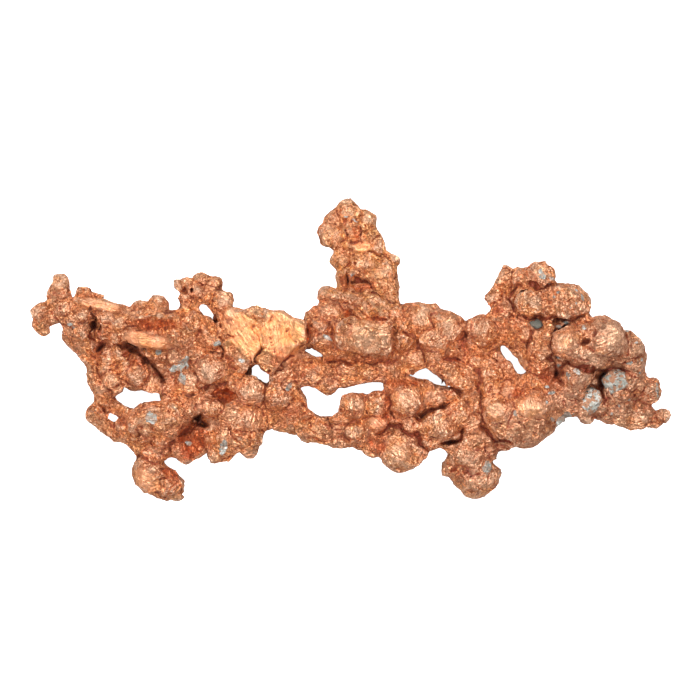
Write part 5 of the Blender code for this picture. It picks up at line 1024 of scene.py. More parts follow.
@dataclass
class CopperMass:
    """The whole of the copper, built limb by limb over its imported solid."""

    solid: bpy.types.Object
    name: str = "copper_mass"
    core_shrink: float = 0.28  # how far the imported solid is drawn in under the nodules, in millimetres
    grow: float = 0.16  # how far the nodules are grown, because their flats lie inside them
    grain: float = 0.16  # voxel of the remesh that fuses them
    strand_step: float = 0.6  # spacing of a strand's nodules, as a share of their radius
    rim: float = 0.4  # how far a plate's edge is broken
    ball: float = 3.6  # radius of the ball that rolls over the nodules to fill their gaps
    fill: float = 0.66  # how much of each gap is filled, and how many millimetres at most
    most_fill: float = 1.8
    seam_width: float = 0.3  # half the width of the crease where two nodules meet, and its depth
    seam_depth: float = 0.5
    seam_slope: float = 0.3  # how steeply two nodules must cross there
    triangles: int = 196_000
    below: float = 0.3  # the share of the triangles that goes to what faces down
    worn_spots: int = 900
    seed: int = 11
    worn: np.ndarray = field(default_factory=lambda: np.zeros(0))
    seam: np.ndarray = field(default_factory=lambda: np.zeros(0))

    def build(self) -> bpy.types.Object:
        """Model the copper and paint what its finish reads.

        Returns:
            The one mesh object.
        """
        pebbles = Pebbles()
        pebbles.build()
        mass = join_all([self._core(), *self._nodules(pebbles), *self._plates()], self.name)
        apply_modifier(mass, "REMESH", mode="VOXEL", voxel_size=1.8 * self.grain * MM)
        self._level(mass)
        self._open_slots(mass)
        apply_modifier(mass, "REMESH", mode="VOXEL", voxel_size=self.grain * MM)
        self._facet(mass)
        self._press(mass)
        self._crumple(mass)
        self._wear_down(mass)
        self._thin(mass)
        self._rest(mass)
        self._paint(mass)
        bpy.ops.object.shade_smooth()
        return mass

    def _core(self) -> bpy.types.Object:
        """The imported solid, smoothed and drawn in, which fills the inside and makes the underside."""
        core = merged_copy(self.solid, "core")
        apply_modifier(core, "REMESH", mode="VOXEL", voxel_size=0.3 * MM)
        apply_modifier(core, "SMOOTH", factor=0.5, iterations=2)
        surface = Surface(core)
        above = smooth_step(surface.points[:, 2], 1.0, 3.5)
        facing_up = smooth_step(surface.normals[:, 2], -0.4, 0.3)
        share = (0.45 + 0.55 * facing_up) * above
        surface.points -= surface.normals * (self.core_shrink * share)[:, None]
        surface.write()
        return core

    def _nodules(self, pebbles: Pebbles) -> list[bpy.types.Object]:
        """Every nodule of every limb, and the nodules that make up its strands."""
        draw = random.Random(self.seed)
        rows: list[Row] = []
        for limb in LIMBS:
            rows.extend(limb.nodules)
            for strand in limb.strands:
                rows.extend(self._along(strand))
        grown = [(*row[:3], *(size + self.grow for size in row[3:6] if size), *(row[6:7])) for row in rows]
        return [pebbles.nodule(row, draw) for row in grown]

    def _along(self, strand: Iterable[Row]) -> list[Row]:
        """Nodules close enough along a strand to fuse into one rod."""
        points = [Vector(point) for point in strand]
        found: list[Row] = []
        for start, end in zip(points, points[1:]):
            reach = (end - start).to_3d().length
            count = max(1, math.ceil(reach / (self.strand_step * min(start[3], end[3]))))
            found.extend(tuple(start.lerp(end, step / count)) for step in range(count + 1))
        return found

    def _plates(self) -> list[bpy.types.Object]:
        """Every flat limb, from its outline."""
        made = []
        for plate in (plate for limb in LIMBS for plate in limb.plates):
            first_x, first_y = plate.outline[0]
            climb_x, climb_y = plate.climb
            low = plate.height - plate.thickness / 2
            places = [Vector((x, y, low + climb_x * (x - first_x) + climb_y * (y - first_y))) for x, y in plate.outline]
            made.append(prism(places, plate.thickness, self.rim))
        return made

    def _open_slots(self, mass: bpy.types.Object) -> None:
        """Cut the gaps that run right through."""
        height = self.solid.dimensions.z / MM + 6.0
        cutters = [prism([Vector((x, y, LAID_OUT_FROM.z - 2.0)) for x, y in outline], height) for outline in SLOTS]
        cutter = join_all(cutters, "slots")
        apply_modifier(mass, "BOOLEAN", operation="DIFFERENCE", object=cutter, solver="EXACT")
        bpy.data.objects.remove(cutter)
        log.info("%s is %d faces once its slots are cut", mass.name, len(mass.data.polygons))

    def _level(self, mass: bpy.types.Object) -> None:
        """Fill the gaps between the nodules, which are pressed together, as a ball that rolls over them would."""
        surface = Surface(mass)
        plan = Plan(step=0.25)
        heights = plan.heights(surface)
        filled = plan.rolled(heights, self.ball)
        rise = np.where(heights > 0.0, filled - heights, 0.0)
        rise = np.minimum(self.fill * rise, self.most_fill)
        seen = smooth_step(surface.points[:, 2] - plan.sampled(heights, surface.points), -1.2, -0.3)
        room = np.clip(plan.sampled(filled, surface.points) - surface.points[:, 2], 0.0, None)
        surface.points[:, 2] += seen * np.minimum(plan.sampled(rise, surface.points), room)
        surface.write()

    def _seams(self, plan: Plan) -> np.ndarray:
        """How near each place of a plan is to where two nodules meet, as seen from above.

        Args:
            plan: The grid.

        Returns:
            Distances in millimetres over the grid, where 9 is far from any seam.
        """
        first, second = np.zeros(plan.shape), np.zeros(plan.shape)
        across, along = plan.places
        for owner in self._owners():
            own = np.zeros(plan.shape)
            for row in owner:
                x, y, z, rx, ry, rz, turn = (*row, 0.0, 0.0, 0.0)[:7]
                ry, rz = ry or rx, rz or rx
                reach = 1.3 * max(rx, ry)
                i0, i1 = (int((v + plan.reach[0]) / plan.step) for v in (x - reach, x + reach))
                j0, j1 = (int((v + plan.reach[1]) / plan.step) for v in (y - reach, y + reach))
                window = (slice(max(i0, 0), i1 + 1), slice(max(j0, 0), j1 + 1))
                cos, sin = math.cos(math.radians(turn)), math.sin(math.radians(turn))
                dx, dy = across[window] - x, along[window] - y
                away = ((dx * cos + dy * sin) / rx) ** 2 + ((dy * cos - dx * sin) / ry) ** 2
                top = z + rz * np.where(away < 0.9, np.sqrt(np.clip(1.0 - away, 0.1, 1.0)), 0.316 - 1.6 * (away - 0.9))
                own[window] = np.maximum(own[window], top)
            second = np.maximum(second, np.minimum(first, own))
            first = np.maximum(first, own)
        lead = first - second
        slope = np.hypot(*np.gradient(lead, plan.step))
        return np.where((second > 0.0) & (slope > self.seam_slope), lead / np.maximum(slope, self.seam_slope), 9.0)

    def _owners(self) -> list[list[Row]]:
        """The rows of each thing that meets its neighbours in a seam: a nodule, or the whole of a strand."""
        found: list[list[Row]] = []
        for limb in LIMBS:
            found.extend([row] for row in limb.nodules)
            found.extend(self._along(strand) for strand in limb.strands)
        return found

    def _press(self, mass: bpy.types.Object) -> None:
        """Press in the hollows and the seams between nodules, and draw the lines."""
        surface = Surface(mass)
        facing_up = smooth_step(surface.normals[:, 2], 0.0, 0.45)
        moved = np.zeros_like(surface.points)
        bent = surface.points + 0.9 * np.array([noise.noise_vector(Vector(point) / 1.5) for point in surface.points.tolist()])
        moved[:, 2] -= self._hollow_depth(bent) * facing_up
        plan = Plan()
        away = plan.sampled(self._seams(plan), surface.points)
        uneven = np.array([noise.noise(Vector(point) / 2.2) for point in surface.points.tolist()])
        self.seam = np.clip(1.0 - away / self.seam_width, 0.0, 1.0) * smooth_step(uneven, -0.35, 0.15) * facing_up
        moved[:, 2] -= self.seam_depth * self.seam
        for line in LINES:
            near, profile = self._line_profile(surface, bent, line)
            push = 0.6 * line.depth * profile * (-1.0 if line.kind is Stroke.RIDGE else 1.0)
            moved[near, 2] -= push * facing_up[near]
            if line.kind is not Stroke.RIDGE:
                self.seam[near] = np.maximum(self.seam[near], min(1.0, 0.5 + 0.25 * line.depth) * profile * facing_up[near])
        surface.points += moved
        surface.write()
        # The seam mask is darkened by the finish: patina and painted shade in the seams and creases.
        surface.paint("seam", self.seam)

    def _hollow_depth(self, points: np.ndarray) -> np.ndarray:
        """How deep the hollows are over each point."""
        deepest = np.zeros(len(points))
        for x, y, wide, long, turn, depth in HOLLOWS:
            cos, sin = math.cos(math.radians(turn)), math.sin(math.radians(turn))
            dx, dy = points[:, 0] - x, points[:, 1] - y
            away = np.hypot((dx * cos + dy * sin) / wide, (dy * cos - dx * sin) / long)
            deepest = np.maximum(deepest, depth * np.clip(1.0 - away * away, 0.0, 1.0) ** 1.5)
        return deepest

    def _line_profile(self, surface: Surface, bent: np.ndarray, line: Line) -> tuple[np.ndarray, np.ndarray]:
        """Where a line runs over the surface.

        Args:
            surface: The surface that it is drawn on.
            bent: The surface's points, shifted unevenly, so that the line runs unevenly too.
            line: The line.

        Returns:
            The indices of the points near it, and how strongly each is pressed, from 0 to 1.
        """
        places = []
        for start, end in zip(line.points, line.points[1:]):
            start, end = Vector(start), Vector(end)
            count = max(1, math.ceil((end - start).length / (0.4 * line.half_width)))
            places.extend(start.lerp(end, step / count) for step in range(count + 1))
        ends = {0, len(places) - 1}
        hits = [(surface.seen_at(*place), 0.5 if i in ends else 1.0) for i, place in enumerate(places)]
        hits = [(hit, fade) for hit, fade in hits if hit is not None]
        low = np.min([hit for hit, _ in hits], axis=0) - 3 * line.half_width
        high = np.max([hit for hit, _ in hits], axis=0) + 3 * line.half_width
        near = np.flatnonzero(((surface.points > low) & (surface.points < high)).all(axis=1))
        profile = np.zeros(len(near))
        for hit, fade in hits:
            gap = bent[near] - np.array(hit)
            gap[:, 2] *= 0.4
            share = np.clip(1.0 - np.linalg.norm(gap, axis=1) / line.half_width, 0.0, 1.0)
            profile = np.maximum(profile, fade * share * (2.0 - share) * share**0.3)
        return near, profile

    def _wear_down(self, mass: bpy.types.Object) -> None:
        """Cut the highest places off flat, where the lists say and at swellings all over."""
        surface = Surface(mass)
        self.worn = np.zeros(len(surface.points))
        for flat in FLATS:
            middle = surface.seen_at(flat.x, flat.y)
            if middle is None:
                log.warning("a flat at %.1f, %.1f misses the copper", flat.x, flat.y)
                continue
            facing = Vector(surface.normal_near(middle, 0.8 * flat.radius))
            if flat.lean:
                lean, way = math.radians(flat.lean), math.radians(flat.way)
                facing = Vector((math.sin(lean) * math.cos(way), math.sin(lean) * math.sin(way), math.cos(lean)))
            self._cut_flat(surface, np.array(middle), np.array(facing), flat.radius, 0.75, flat.polish)
        draw = np.random.default_rng(self.seed)
        swell = ((surface.points - surface.blurred(surface.points, 30)) * surface.normals).sum(axis=1)
        facing = surface.blurred(surface.normals, 12)
        facing /= np.maximum(np.linalg.norm(facing, axis=1), 1e-9)[:, None]
        high = np.flatnonzero(swell > np.quantile(swell, 0.72))
        for index in draw.choice(high, self.worn_spots, replace=False):
            radius = draw.uniform(0.5, 1.1)
            leaning = facing[index] + draw.uniform(-0.15, 0.15, 3)
            self._cut_flat(surface, surface.points[index], leaning / np.linalg.norm(leaning), radius, 0.8, 0.6)
        surface.write()
        # The worn mask holds real wear on the cut flats and painted highlights too: the listed pale patches and the
        # tops of the larger nodules are painted pale as if lit.
        rubbed_and_highlit = [Stain(flat.x, flat.y, flat.radius, flat.radius, 0.0, 0.65 * flat.polish) for flat in FLATS]
        rubbed_and_highlit.extend(self._tops_worn_and_highlit(surface))
        surface.paint("worn", np.maximum(0.8 * self.worn, self._stained(surface, (*rubbed_and_highlit, *PALES_AND_HIGHLIGHTS), 0.8)))

    def _tops_worn_and_highlit(self, surface: Surface) -> list[Stain]:
        """Where the tops of the larger nodules are painted pale: partly worn, partly a painted highlight on the tops.
        """
        draw = random.Random(self.seed)
        found = []
        for x, y, z, rx, ry, rz, turn in ((*row, 0.0, 0.0, 0.0)[:7] for limb in LIMBS for row in limb.nodules):
            top = surface.seen_at(x, y)
            if rx > 0.75 and top is not None and abs(top.z - z - (rz or rx)) < 0.6 and draw.random() < 0.75:
                found.append(Stain(x, y, 0.62 * rx, 0.62 * (ry or rx), turn, draw.uniform(0.3, 0.8)))
        return found

    def _cut_flat(
        self, surface: Surface, middle: np.ndarray, facing: np.ndarray, radius: float, quantile: float, polish: float
    ) -> None:
        """Cut what stands proud of a plane, within reach of its middle.

        Args:
            surface: The surface.
            middle: The middle of the flat.
            facing: The way that it faces.
            radius: How far it reaches.
            quantile: The share of the surface within reach that is left as it is.
            polish: How bright it is worn.
        """
        near = np.flatnonzero((np.abs(surface.points - middle) < 1.2 * radius).all(axis=1))
        near = near[surface.normals[near] @ facing > 0.2]
        gap = surface.points[near] - middle
        away = np.linalg.norm(gap, axis=1)
        near, gap, away = near[away < 1.2 * radius], gap[away < 1.2 * radius], away[away < 1.2 * radius]
        if len(near) < 8:
            return
        height = gap @ facing
        proud = height - np.quantile(height[away < 0.8 * radius], 1.0 - quantile) if (away < 0.8 * radius).any() else height
        share = 1.0 - smooth_step(away, 0.9 * radius, 1.2 * radius)
        surface.points[near] -= facing * (np.clip(proud, 0.0, None) * share * 0.9)[:, None]
        self.worn[near] = np.maximum(self.worn[near], polish * share * smooth_step(proud, -0.04, 0.03))

    def _facet(self, mass: bpy.types.Object) -> None:
        """Draw the whole surface towards small flats that lean every way, with crisp edges between them."""
        surface = Surface(mass)
        draw = np.random.default_rng(self.seed)
        for spacing, pull, lean in FACETS:
            facing = surface.blurred(surface.normals, 6)
            facing /= np.maximum(np.linalg.norm(facing, axis=1), 1e-9)[:, None]
            count = int(len(surface.points) * (self.grain / spacing) ** 2)
            seeds = draw.choice(len(surface.points), count, replace=False)
            tree = KDTree(count)
            for index, seed in enumerate(seeds):
                tree.insert(surface.points[seed], index)
            tree.balance()
            planes = facing[seeds] + lean * draw.uniform(-1.0, 1.0, (count, 3))
            planes /= np.linalg.norm(planes, axis=1)[:, None]
            nearest = np.array([[found[1] for found in tree.find_n(point, 2)] for point in surface.points.tolist()])
            heights, gaps = [], []
            for column in nearest.T:
                gap = surface.points - surface.points[seeds[column]]
                heights.append((gap * planes[column]).sum(axis=1))
                gaps.append(np.linalg.norm(gap, axis=1))
            share = 0.5 + 0.5 * smooth_step(gaps[1] - gaps[0], 0.0, 0.3 * spacing)
            push = share[:, None] * heights[0][:, None] * planes[nearest[:, 0]]
            push += (1.0 - share)[:, None] * heights[1][:, None] * planes[nearest[:, 1]]
            limit = 0.35 * spacing
            length = np.maximum(np.linalg.norm(push, axis=1), 1e-9)
            surface.points -= pull * push * np.minimum(1.0, limit / length)[:, None]
        surface.write()

    def _crumple(self, mass: bpy.types.Object) -> None:
        """Crumple the metal all over, with sharp folds between small swellings, and less where it is smooth."""
        surface = Surface(mass)
        calm = self._stained(surface, SMOOTH, 2.0)
        push = np.empty(len(surface.points))
        for index, point in enumerate(surface.points.tolist()):
            place = Vector(point)
            bent = place + 0.7 * noise.noise_vector(place / 1.7)
            fold = max(0.0, 1.0 - abs(noise.noise(bent / 1.7)) / 0.08)
            crease = max(0.0, 1.0 - abs(noise.noise(bent / 0.9 + FOLDS_APART)) / 0.12)
            swelling = abs(noise.noise(bent / 0.75 - FOLDS_APART))
            grain = noise.noise(place / 0.36)
            push[index] = 0.03 + 0.12 * (swelling - 0.22) - 0.12 * fold - 0.11 * crease + 0.035 * grain
        push *= 1.0 - 0.7 * calm
        surface.points += surface.normals * push[:, None]
        surface.write()

    def _thin(self, mass: bpy.types.Object) -> None:
        """Thin the mesh to the triangles that one piece may have."""
        apply_modifier(mass, "TRIANGULATE")
        facing = np.empty(len(mass.data.polygons) * 3, np.float32)
        mass.data.polygons.foreach_get("normal", facing)
        under = facing[2::3] < -0.05
        pick_only(mass)
        bpy.ops.object.mode_set(mode="EDIT")
        bpy.ops.mesh.select_mode(type="FACE")
        bpy.ops.mesh.select_all(action="DESELECT")
        bpy.ops.object.mode_set(mode="OBJECT")
        mass.data.polygons.foreach_set("select", under)
        bpy.ops.object.mode_set(mode="EDIT")
        bpy.ops.mesh.decimate(ratio=min(1.0, self.below * self.triangles / int(under.sum())))
        bpy.ops.object.mode_set(mode="OBJECT")
        apply_modifier(mass, "DECIMATE", ratio=min(1.0, self.triangles / len(mass.data.polygons)))
        log.info("%s is %d triangles", mass.name, len(mass.data.polygons))

    def _rest(self, mass: bpy.types.Object) -> None:
        """Set what is below the resting plane level with it."""
        surface = Surface(mass)
        floor = LAID_OUT_FROM.z
        surface.points[:, 2] = np.where(surface.points[:, 2] < floor + 0.06, floor, surface.points[:, 2])
        surface.write()

    def _paint(self, mass: bpy.types.Object) -> None:
        """Paint how shut in and how far out each place is, the mineral, the red patches, the flow and the tones, from
        which the finish paints its shade and highlights as well as its colours.
        """
        surface = Surface(mass)
        tight, open_air = self._openness(surface)
        # hollow and nook are how shut in each point is, widely and close by; the finish paints them as shade.
        surface.paint("hollow", 1.0 - open_air)
        surface.paint("nook", 1.0 - tight)
        small = surface.blurred(surface.points, 8)
        large = surface.blurred(surface.points, 60)
        # ridge and swell are how far each point stands out of its neighbours, close by and broadly; the finish paints
        # highlights where they are high and shade where ridge is low.
        surface.paint("ridge", ((surface.points - small) * surface.normals).sum(axis=1))
        surface.paint("swell", ((surface.points - large) * surface.normals).sum(axis=1))
        surface.paint("mineral", self._stained(surface, MINERAL, 0.7, 0.3, 1.7))
        # The red patches lie mostly in hollows and creases, and the finish paints them partly as the copper's red,
        # partly as painted shade.
        surface.paint("red", self._stained(surface, REDS_AND_SHADE, 1.2))
        self._paint_flow(surface)
        tone = np.zeros(len(surface.points))
        for stain in TONES:
            tone += stain.strength * self._stained(surface, [Stain(stain.x, stain.y, stain.rx, stain.ry)], 4.0)
        surface.paint("tone", np.clip(0.5 + 0.5 * tone, 0.0, 1.0))

    def _paint_flow(self, surface: Surface) -> None:
        """Paint which way the fine wrinkles run on each nodule: how far along them and how far across each point is."""
        draw = random.Random(self.seed)
        middles = [Vector(row[:3]) for owner in self._owners() for row in owner]
        turns = [draw.uniform(0.0, math.pi) for _ in middles]
        tree = KDTree(len(middles))
        for index, middle in enumerate(middles):
            tree.insert(middle, index)
        tree.balance()
        flow = np.empty((len(surface.points), 3), np.float32)
        for index, point in enumerate(surface.points.tolist()):
            middle, owner, _ = tree.find(point)
            gap = Vector(point) - middle
            cos, sin = math.cos(turns[owner]), math.sin(turns[owner])
            flow[index] = (gap.x * cos + gap.y * sin, gap.y * cos - gap.x * sin, gap.z + 7.0 * turns[owner])
        calm = np.zeros(len(surface.points))
        for smooth in SMOOTH:
            found = self._stained(surface, [smooth], 2.0)
            cos, sin = math.cos(math.radians(smooth.turn)), math.sin(math.radians(smooth.turn))
            over = found > np.maximum(calm, 0.3)
            x, y, z = surface.points[over].T
            flow[over] = np.stack((x * cos + y * sin, y * cos - x * sin, z), axis=1)
            calm = np.maximum(calm, found)
        surface.paint("calm", calm)
        layer = surface.obj.data.attributes.new("flow", "FLOAT_VECTOR", "POINT")
        layer.data.foreach_set("vector", flow.ravel())

    def _openness(self, surface: Surface) -> tuple[np.ndarray, np.ndarray]:
        """How open to the air each point is.

        Args:
            surface: The surface.

        Returns:
            The shares of rays from each point that get clear of the copper, near by and further off.
        """
        draw = random.Random(self.seed)
        rays = [any_direction(draw) for _ in range(28)]
        tight, wide, total = (np.zeros(len(surface.points)) for _ in range(3))
        cast = surface.tree.ray_cast
        starts = (surface.points + surface.normals * 0.05).tolist()
        for ray in rays:
            slant = surface.normals @ np.array(ray)
            for index in np.flatnonzero(slant > 0.15).tolist():
                weight = slant[index]
                total[index] += weight
                reach = cast(starts[index], ray, 6.0)[3]
                if reach is None:
                    wide[index] += weight
                    tight[index] += weight
                elif reach > 1.2:
                    tight[index] += weight
        total = np.maximum(total, 1e-6)
        return surface.blurred(tight / total, 2), surface.blurred(wide / total, 3)

    def _stained(self, surface: Surface, stains: Iterable[Stain], ragged: float, core: float = 0.7, rim: float = 1.25) -> np.ndarray:
        """How strongly each point is within any of some stains.

        Args:
            surface: The surface.
            stains: The stains, placed as seen from above.
            ragged: The size of the bays in a stain's edge, in millimetres.
            core: How far out a stain is whole, as a share of its size.
            rim: How far out it ends.

        Returns:
            A value from 0 to 1 for each point.
        """
        value = np.zeros(len(surface.points))
        for stain in stains:
            middle = surface.seen_at(stain.x, stain.y)
            if middle is None:
                continue
            turn = math.radians(stain.turn)
            gap = surface.points - np.array(middle)
            along = (gap[:, 0] * math.cos(turn) + gap[:, 1] * math.sin(turn)) / stain.rx
            across = (gap[:, 1] * math.cos(turn) - gap[:, 0] * math.sin(turn)) / stain.ry
            away = np.sqrt(along**2 + across**2 + (gap[:, 2] / max(stain.rx, stain.ry)) ** 2)
            near = np.flatnonzero(away < 1.8)
            edge = np.array([noise.noise(Vector(surface.points[i]) / ragged) for i in near])
            found = 1.0 - smooth_step(away[near] + 0.5 * edge, core, rim)
            value[near] = np.maximum(value[near], stain.strength * found)
        return np.clip(value, 0.0, 1.0)


# --- Finishes ---------------------------------------------------------------------------------------------

Colour = tuple[float, float, float, float]


class Bench:
    """A short way to lay out the nodes of one tree."""

    def __init__(self, tree: bpy.types.NodeTree) -> None:
        """Work on the given tree."""
        self.tree = tree

    def add(self, kind: str, inputs: dict[str | int, Any] | None = None, **settings: Any) -> bpy.types.Node:
        """Add a node.

        Args:
            kind: The node's type.
            inputs: For each input, its value or the socket that feeds it.
            **settings: What to set on the node itself.

        Returns:
            The node.
        """
        node = self.tree.nodes.new(kind)
        for key, value in settings.items():
            setattr(node, key, value)
        for key, value in (inputs or {}).items():
            if isinstance(value, bpy.types.NodeSocket):
                self.tree.links.new(value, node.inputs[key])
            else:
                node.inputs[key].default_value = value
        return node

    def sum(self, operation: str, first: Any, second: Any = 0.5, third: Any = 0.5) -> bpy.types.NodeSocket:
        """A Math node's result."""
        return self.add("ShaderNodeMath", {0: first, 1: second, 2: third}, operation=operation).outputs[0]

    def vector(self, operation: str, first: Any, second: Any) -> bpy.types.Node:
        """A Vector Math node."""
        return self.add("ShaderNodeVectorMath", {0: first, 1: second}, operation=operation)

    def ramp(self, value: Any, low: float, high: float, start: float = 0.0, end: float = 1.0) -> bpy.types.NodeSocket:
        """Value eased from start at low to end at high."""
        inputs = {"Value": value, "From Min": low, "From Max": high, "To Min": start, "To Max": end}
        return self.add("ShaderNodeMapRange", inputs, interpolation_type="SMOOTHSTEP").outputs[0]

    def blend(self, share: Any, under: Any, over: Any, way: str = "MIX") -> bpy.types.NodeSocket:
        """Two colours mixed by share."""
        return self.add("ShaderNodeMix", {0: share, 6: under, 7: over}, data_type="RGBA", blend_type=way).outputs[2]

    def painted(self, name: str) -> bpy.types.NodeSocket:
        """An attribute of the mesh."""
        return self.add("ShaderNodeAttribute", attribute_name=name).outputs["Fac"]

    def noise(self, place: Any, size: float, detail: float = 3.0, rough: float = 0.55, bend: float = 0.0) -> bpy.types.Node:
        """A noise texture whose features are size millimetres across."""
        inputs = {"Vector": place, "Scale": 1.0 / size, "Detail": detail, "Roughness": rough, "Distortion": bend}
        return self.add("ShaderNodeTexNoise", inputs)

    def ridges(self, place: Any, size: Any, detail: float, bend: float = 0.0) -> bpy.types.NodeSocket:
        """A noise texture with sharp ridges, whose features are size millimetres across."""
        inputs = {"Vector": place, "Scale": self.sum("DIVIDE", 1.0, size), "Detail": detail, "Roughness": 0.55, "Distortion": bend}
        inputs |= {"Offset": 1.0, "Gain": 1.5}
        kind = "RIDGED_MULTIFRACTAL"
        return self.add("ShaderNodeTexNoise", inputs, noise_type=kind, normalize=True).outputs["Fac"]

    def use(self, group: bpy.types.NodeTree, inputs: dict[str, Any]) -> bpy.types.Node:
        """Place a node group."""
        node = self.tree.nodes.new("ShaderNodeGroup")
        node.node_tree = group
        for key, value in inputs.items():
            if isinstance(value, bpy.types.NodeSocket):
                self.tree.links.new(value, node.inputs[key])
            else:
                node.inputs[key].default_value = value
        return node


def new_group(name: str, ins: dict[str, str], outs: dict[str, str]) -> tuple[bpy.types.NodeTree, Bench, Any, Any]:
    """Start a shader node group.

    Args:
        name: The group's name.
        ins: Its inputs and their socket types.
        outs: Its outputs and their socket types.

    Returns:
        The group, a bench to work on it, its input node and its output node.
    """
    group = bpy.data.node_groups.new(name, "ShaderNodeTree")
    for title, kind in ins.items():
        group.interface.new_socket(title, in_out="INPUT", socket_type=kind)
    for title, kind in outs.items():
        group.interface.new_socket(title, in_out="OUTPUT", socket_type=kind)
    bench = Bench(group)
    return group, bench, bench.add("NodeGroupInput"), bench.add("NodeGroupOutput")


def crinkle_group() -> bpy.types.NodeTree:
    """Small flats that lean every way, with sharp folds between them, as in crumpled foil or a broken stone.

    Returns:
        The group. Height is in millimetres, and Glint differs from flat to flat.
    """
    group, bench, into, out = new_group(
        "crinkle",
        {"Place": "NodeSocketVector", "Size": "NodeSocketFloat", "Bend": "NodeSocketFloat"},
        {"Height": "NodeSocketFloat", "Glint": "NodeSocketFloat", "Crack": "NodeSocketFloat"},
    )
    scale = bench.sum("DIVIDE", 1.0, into.outputs["Size"])
    warp = bench.add("ShaderNodeTexNoise", {"Vector": into.outputs["Place"], "Scale": scale, "Detail": 2.0})
    push = bench.vector("SUBTRACT", warp.outputs["Color"], (0.5, 0.5, 0.5)).outputs[0]
    reach = bench.sum("MULTIPLY", into.outputs["Bend"], into.outputs["Size"])
    push = bench.add("ShaderNodeVectorMath", {0: push, "Scale": reach}, operation="SCALE").outputs[0]
    place = bench.vector("ADD", into.outputs["Place"], push).outputs[0]
    cells = bench.add("ShaderNodeTexVoronoi", {"Vector": place, "Scale": scale})
    away = bench.vector("SUBTRACT", place, cells.outputs["Position"]).outputs[0]
    lean = bench.vector("SUBTRACT", cells.outputs["Color"], (0.5, 0.5, 0.5)).outputs[0]
    tilt = bench.sum("MULTIPLY", bench.vector("DOT_PRODUCT", away, lean).outputs["Value"], 0.6)
    size = bench.sum("DIVIDE", into.outputs["Size"], 0.7)
    folds = bench.sum("MULTIPLY", bench.ridges(place, size, 1.0), bench.sum("MULTIPLY", into.outputs["Size"], -0.22))
    bench.tree.links.new(bench.sum("ADD", tilt, folds), out.inputs["Height"])
    edges = bench.add("ShaderNodeTexVoronoi", {"Vector": place, "Scale": scale}, feature="DISTANCE_TO_EDGE")
    bench.tree.links.new(bench.ramp(edges.outputs["Distance"], 0.03, 0.13, 1.0, 0.0), out.inputs["Crack"])
    split = bench.add("ShaderNodeSeparateColor", {0: cells.outputs["Color"]})
    bench.tree.links.new(split.outputs[0], out.inputs["Glint"])
    return group


@dataclass(frozen=True)
class CrustFinish:
    """Grey-green mineral, mottled with white and dark specks."""

    grey: Colour = (0.32, 0.315, 0.275, 1.0)
    pale: Colour = (0.66, 0.65, 0.60, 1.0)
    dark: Colour = (0.05, 0.05, 0.05, 1.0)
    rust: Colour = (0.38, 0.18, 0.10, 1.0)

    def group(self) -> bpy.types.NodeTree:
        """The node group that colours it.

        Returns:
            The group, whose Height is in millimetres.
        """
        group, bench, into, out = new_group(
            "crust",
            {"Place": "NodeSocketVector", "Pale": "NodeSocketFloat", "Specks": "NodeSocketFloat"},
            {"Color": "NodeSocketColor", "Height": "NodeSocketFloat"},
        )
        place = into.outputs["Place"]
        broad = bench.noise(place, 0.9, 4.0, 0.65).outputs["Fac"]
        white = bench.sum("MULTIPLY", bench.ramp(broad, 0.45, 0.6), into.outputs["Pale"])
        colour = bench.blend(white, self.grey, self.pale)
        brown = bench.ramp(bench.noise(bench.vector("ADD", place, (4.0, 9.0, 2.0)).outputs[0], 0.7).outputs["Fac"], 0.44, 0.54)
        colour = bench.blend(bench.sum("MULTIPLY", brown, into.outputs["Specks"]), colour, self.rust)
        fine = bench.noise(bench.vector("ADD", place, (1.0, 5.0, 7.0)).outputs[0], 0.33, 2.0).outputs["Fac"]
        speck = bench.sum("MULTIPLY", bench.ramp(fine, 0.6, 0.66), into.outputs["Specks"])
        colour = bench.blend(speck, colour, self.dark)
        bench.tree.links.new(colour, out.inputs["Color"])
        grit = bench.noise(place, 0.22, 3.0, 0.7).outputs["Fac"]
        bench.tree.links.new(bench.sum("MULTIPLY", bench.sum("ADD", grit, broad), 0.12), out.inputs["Height"])
        return group


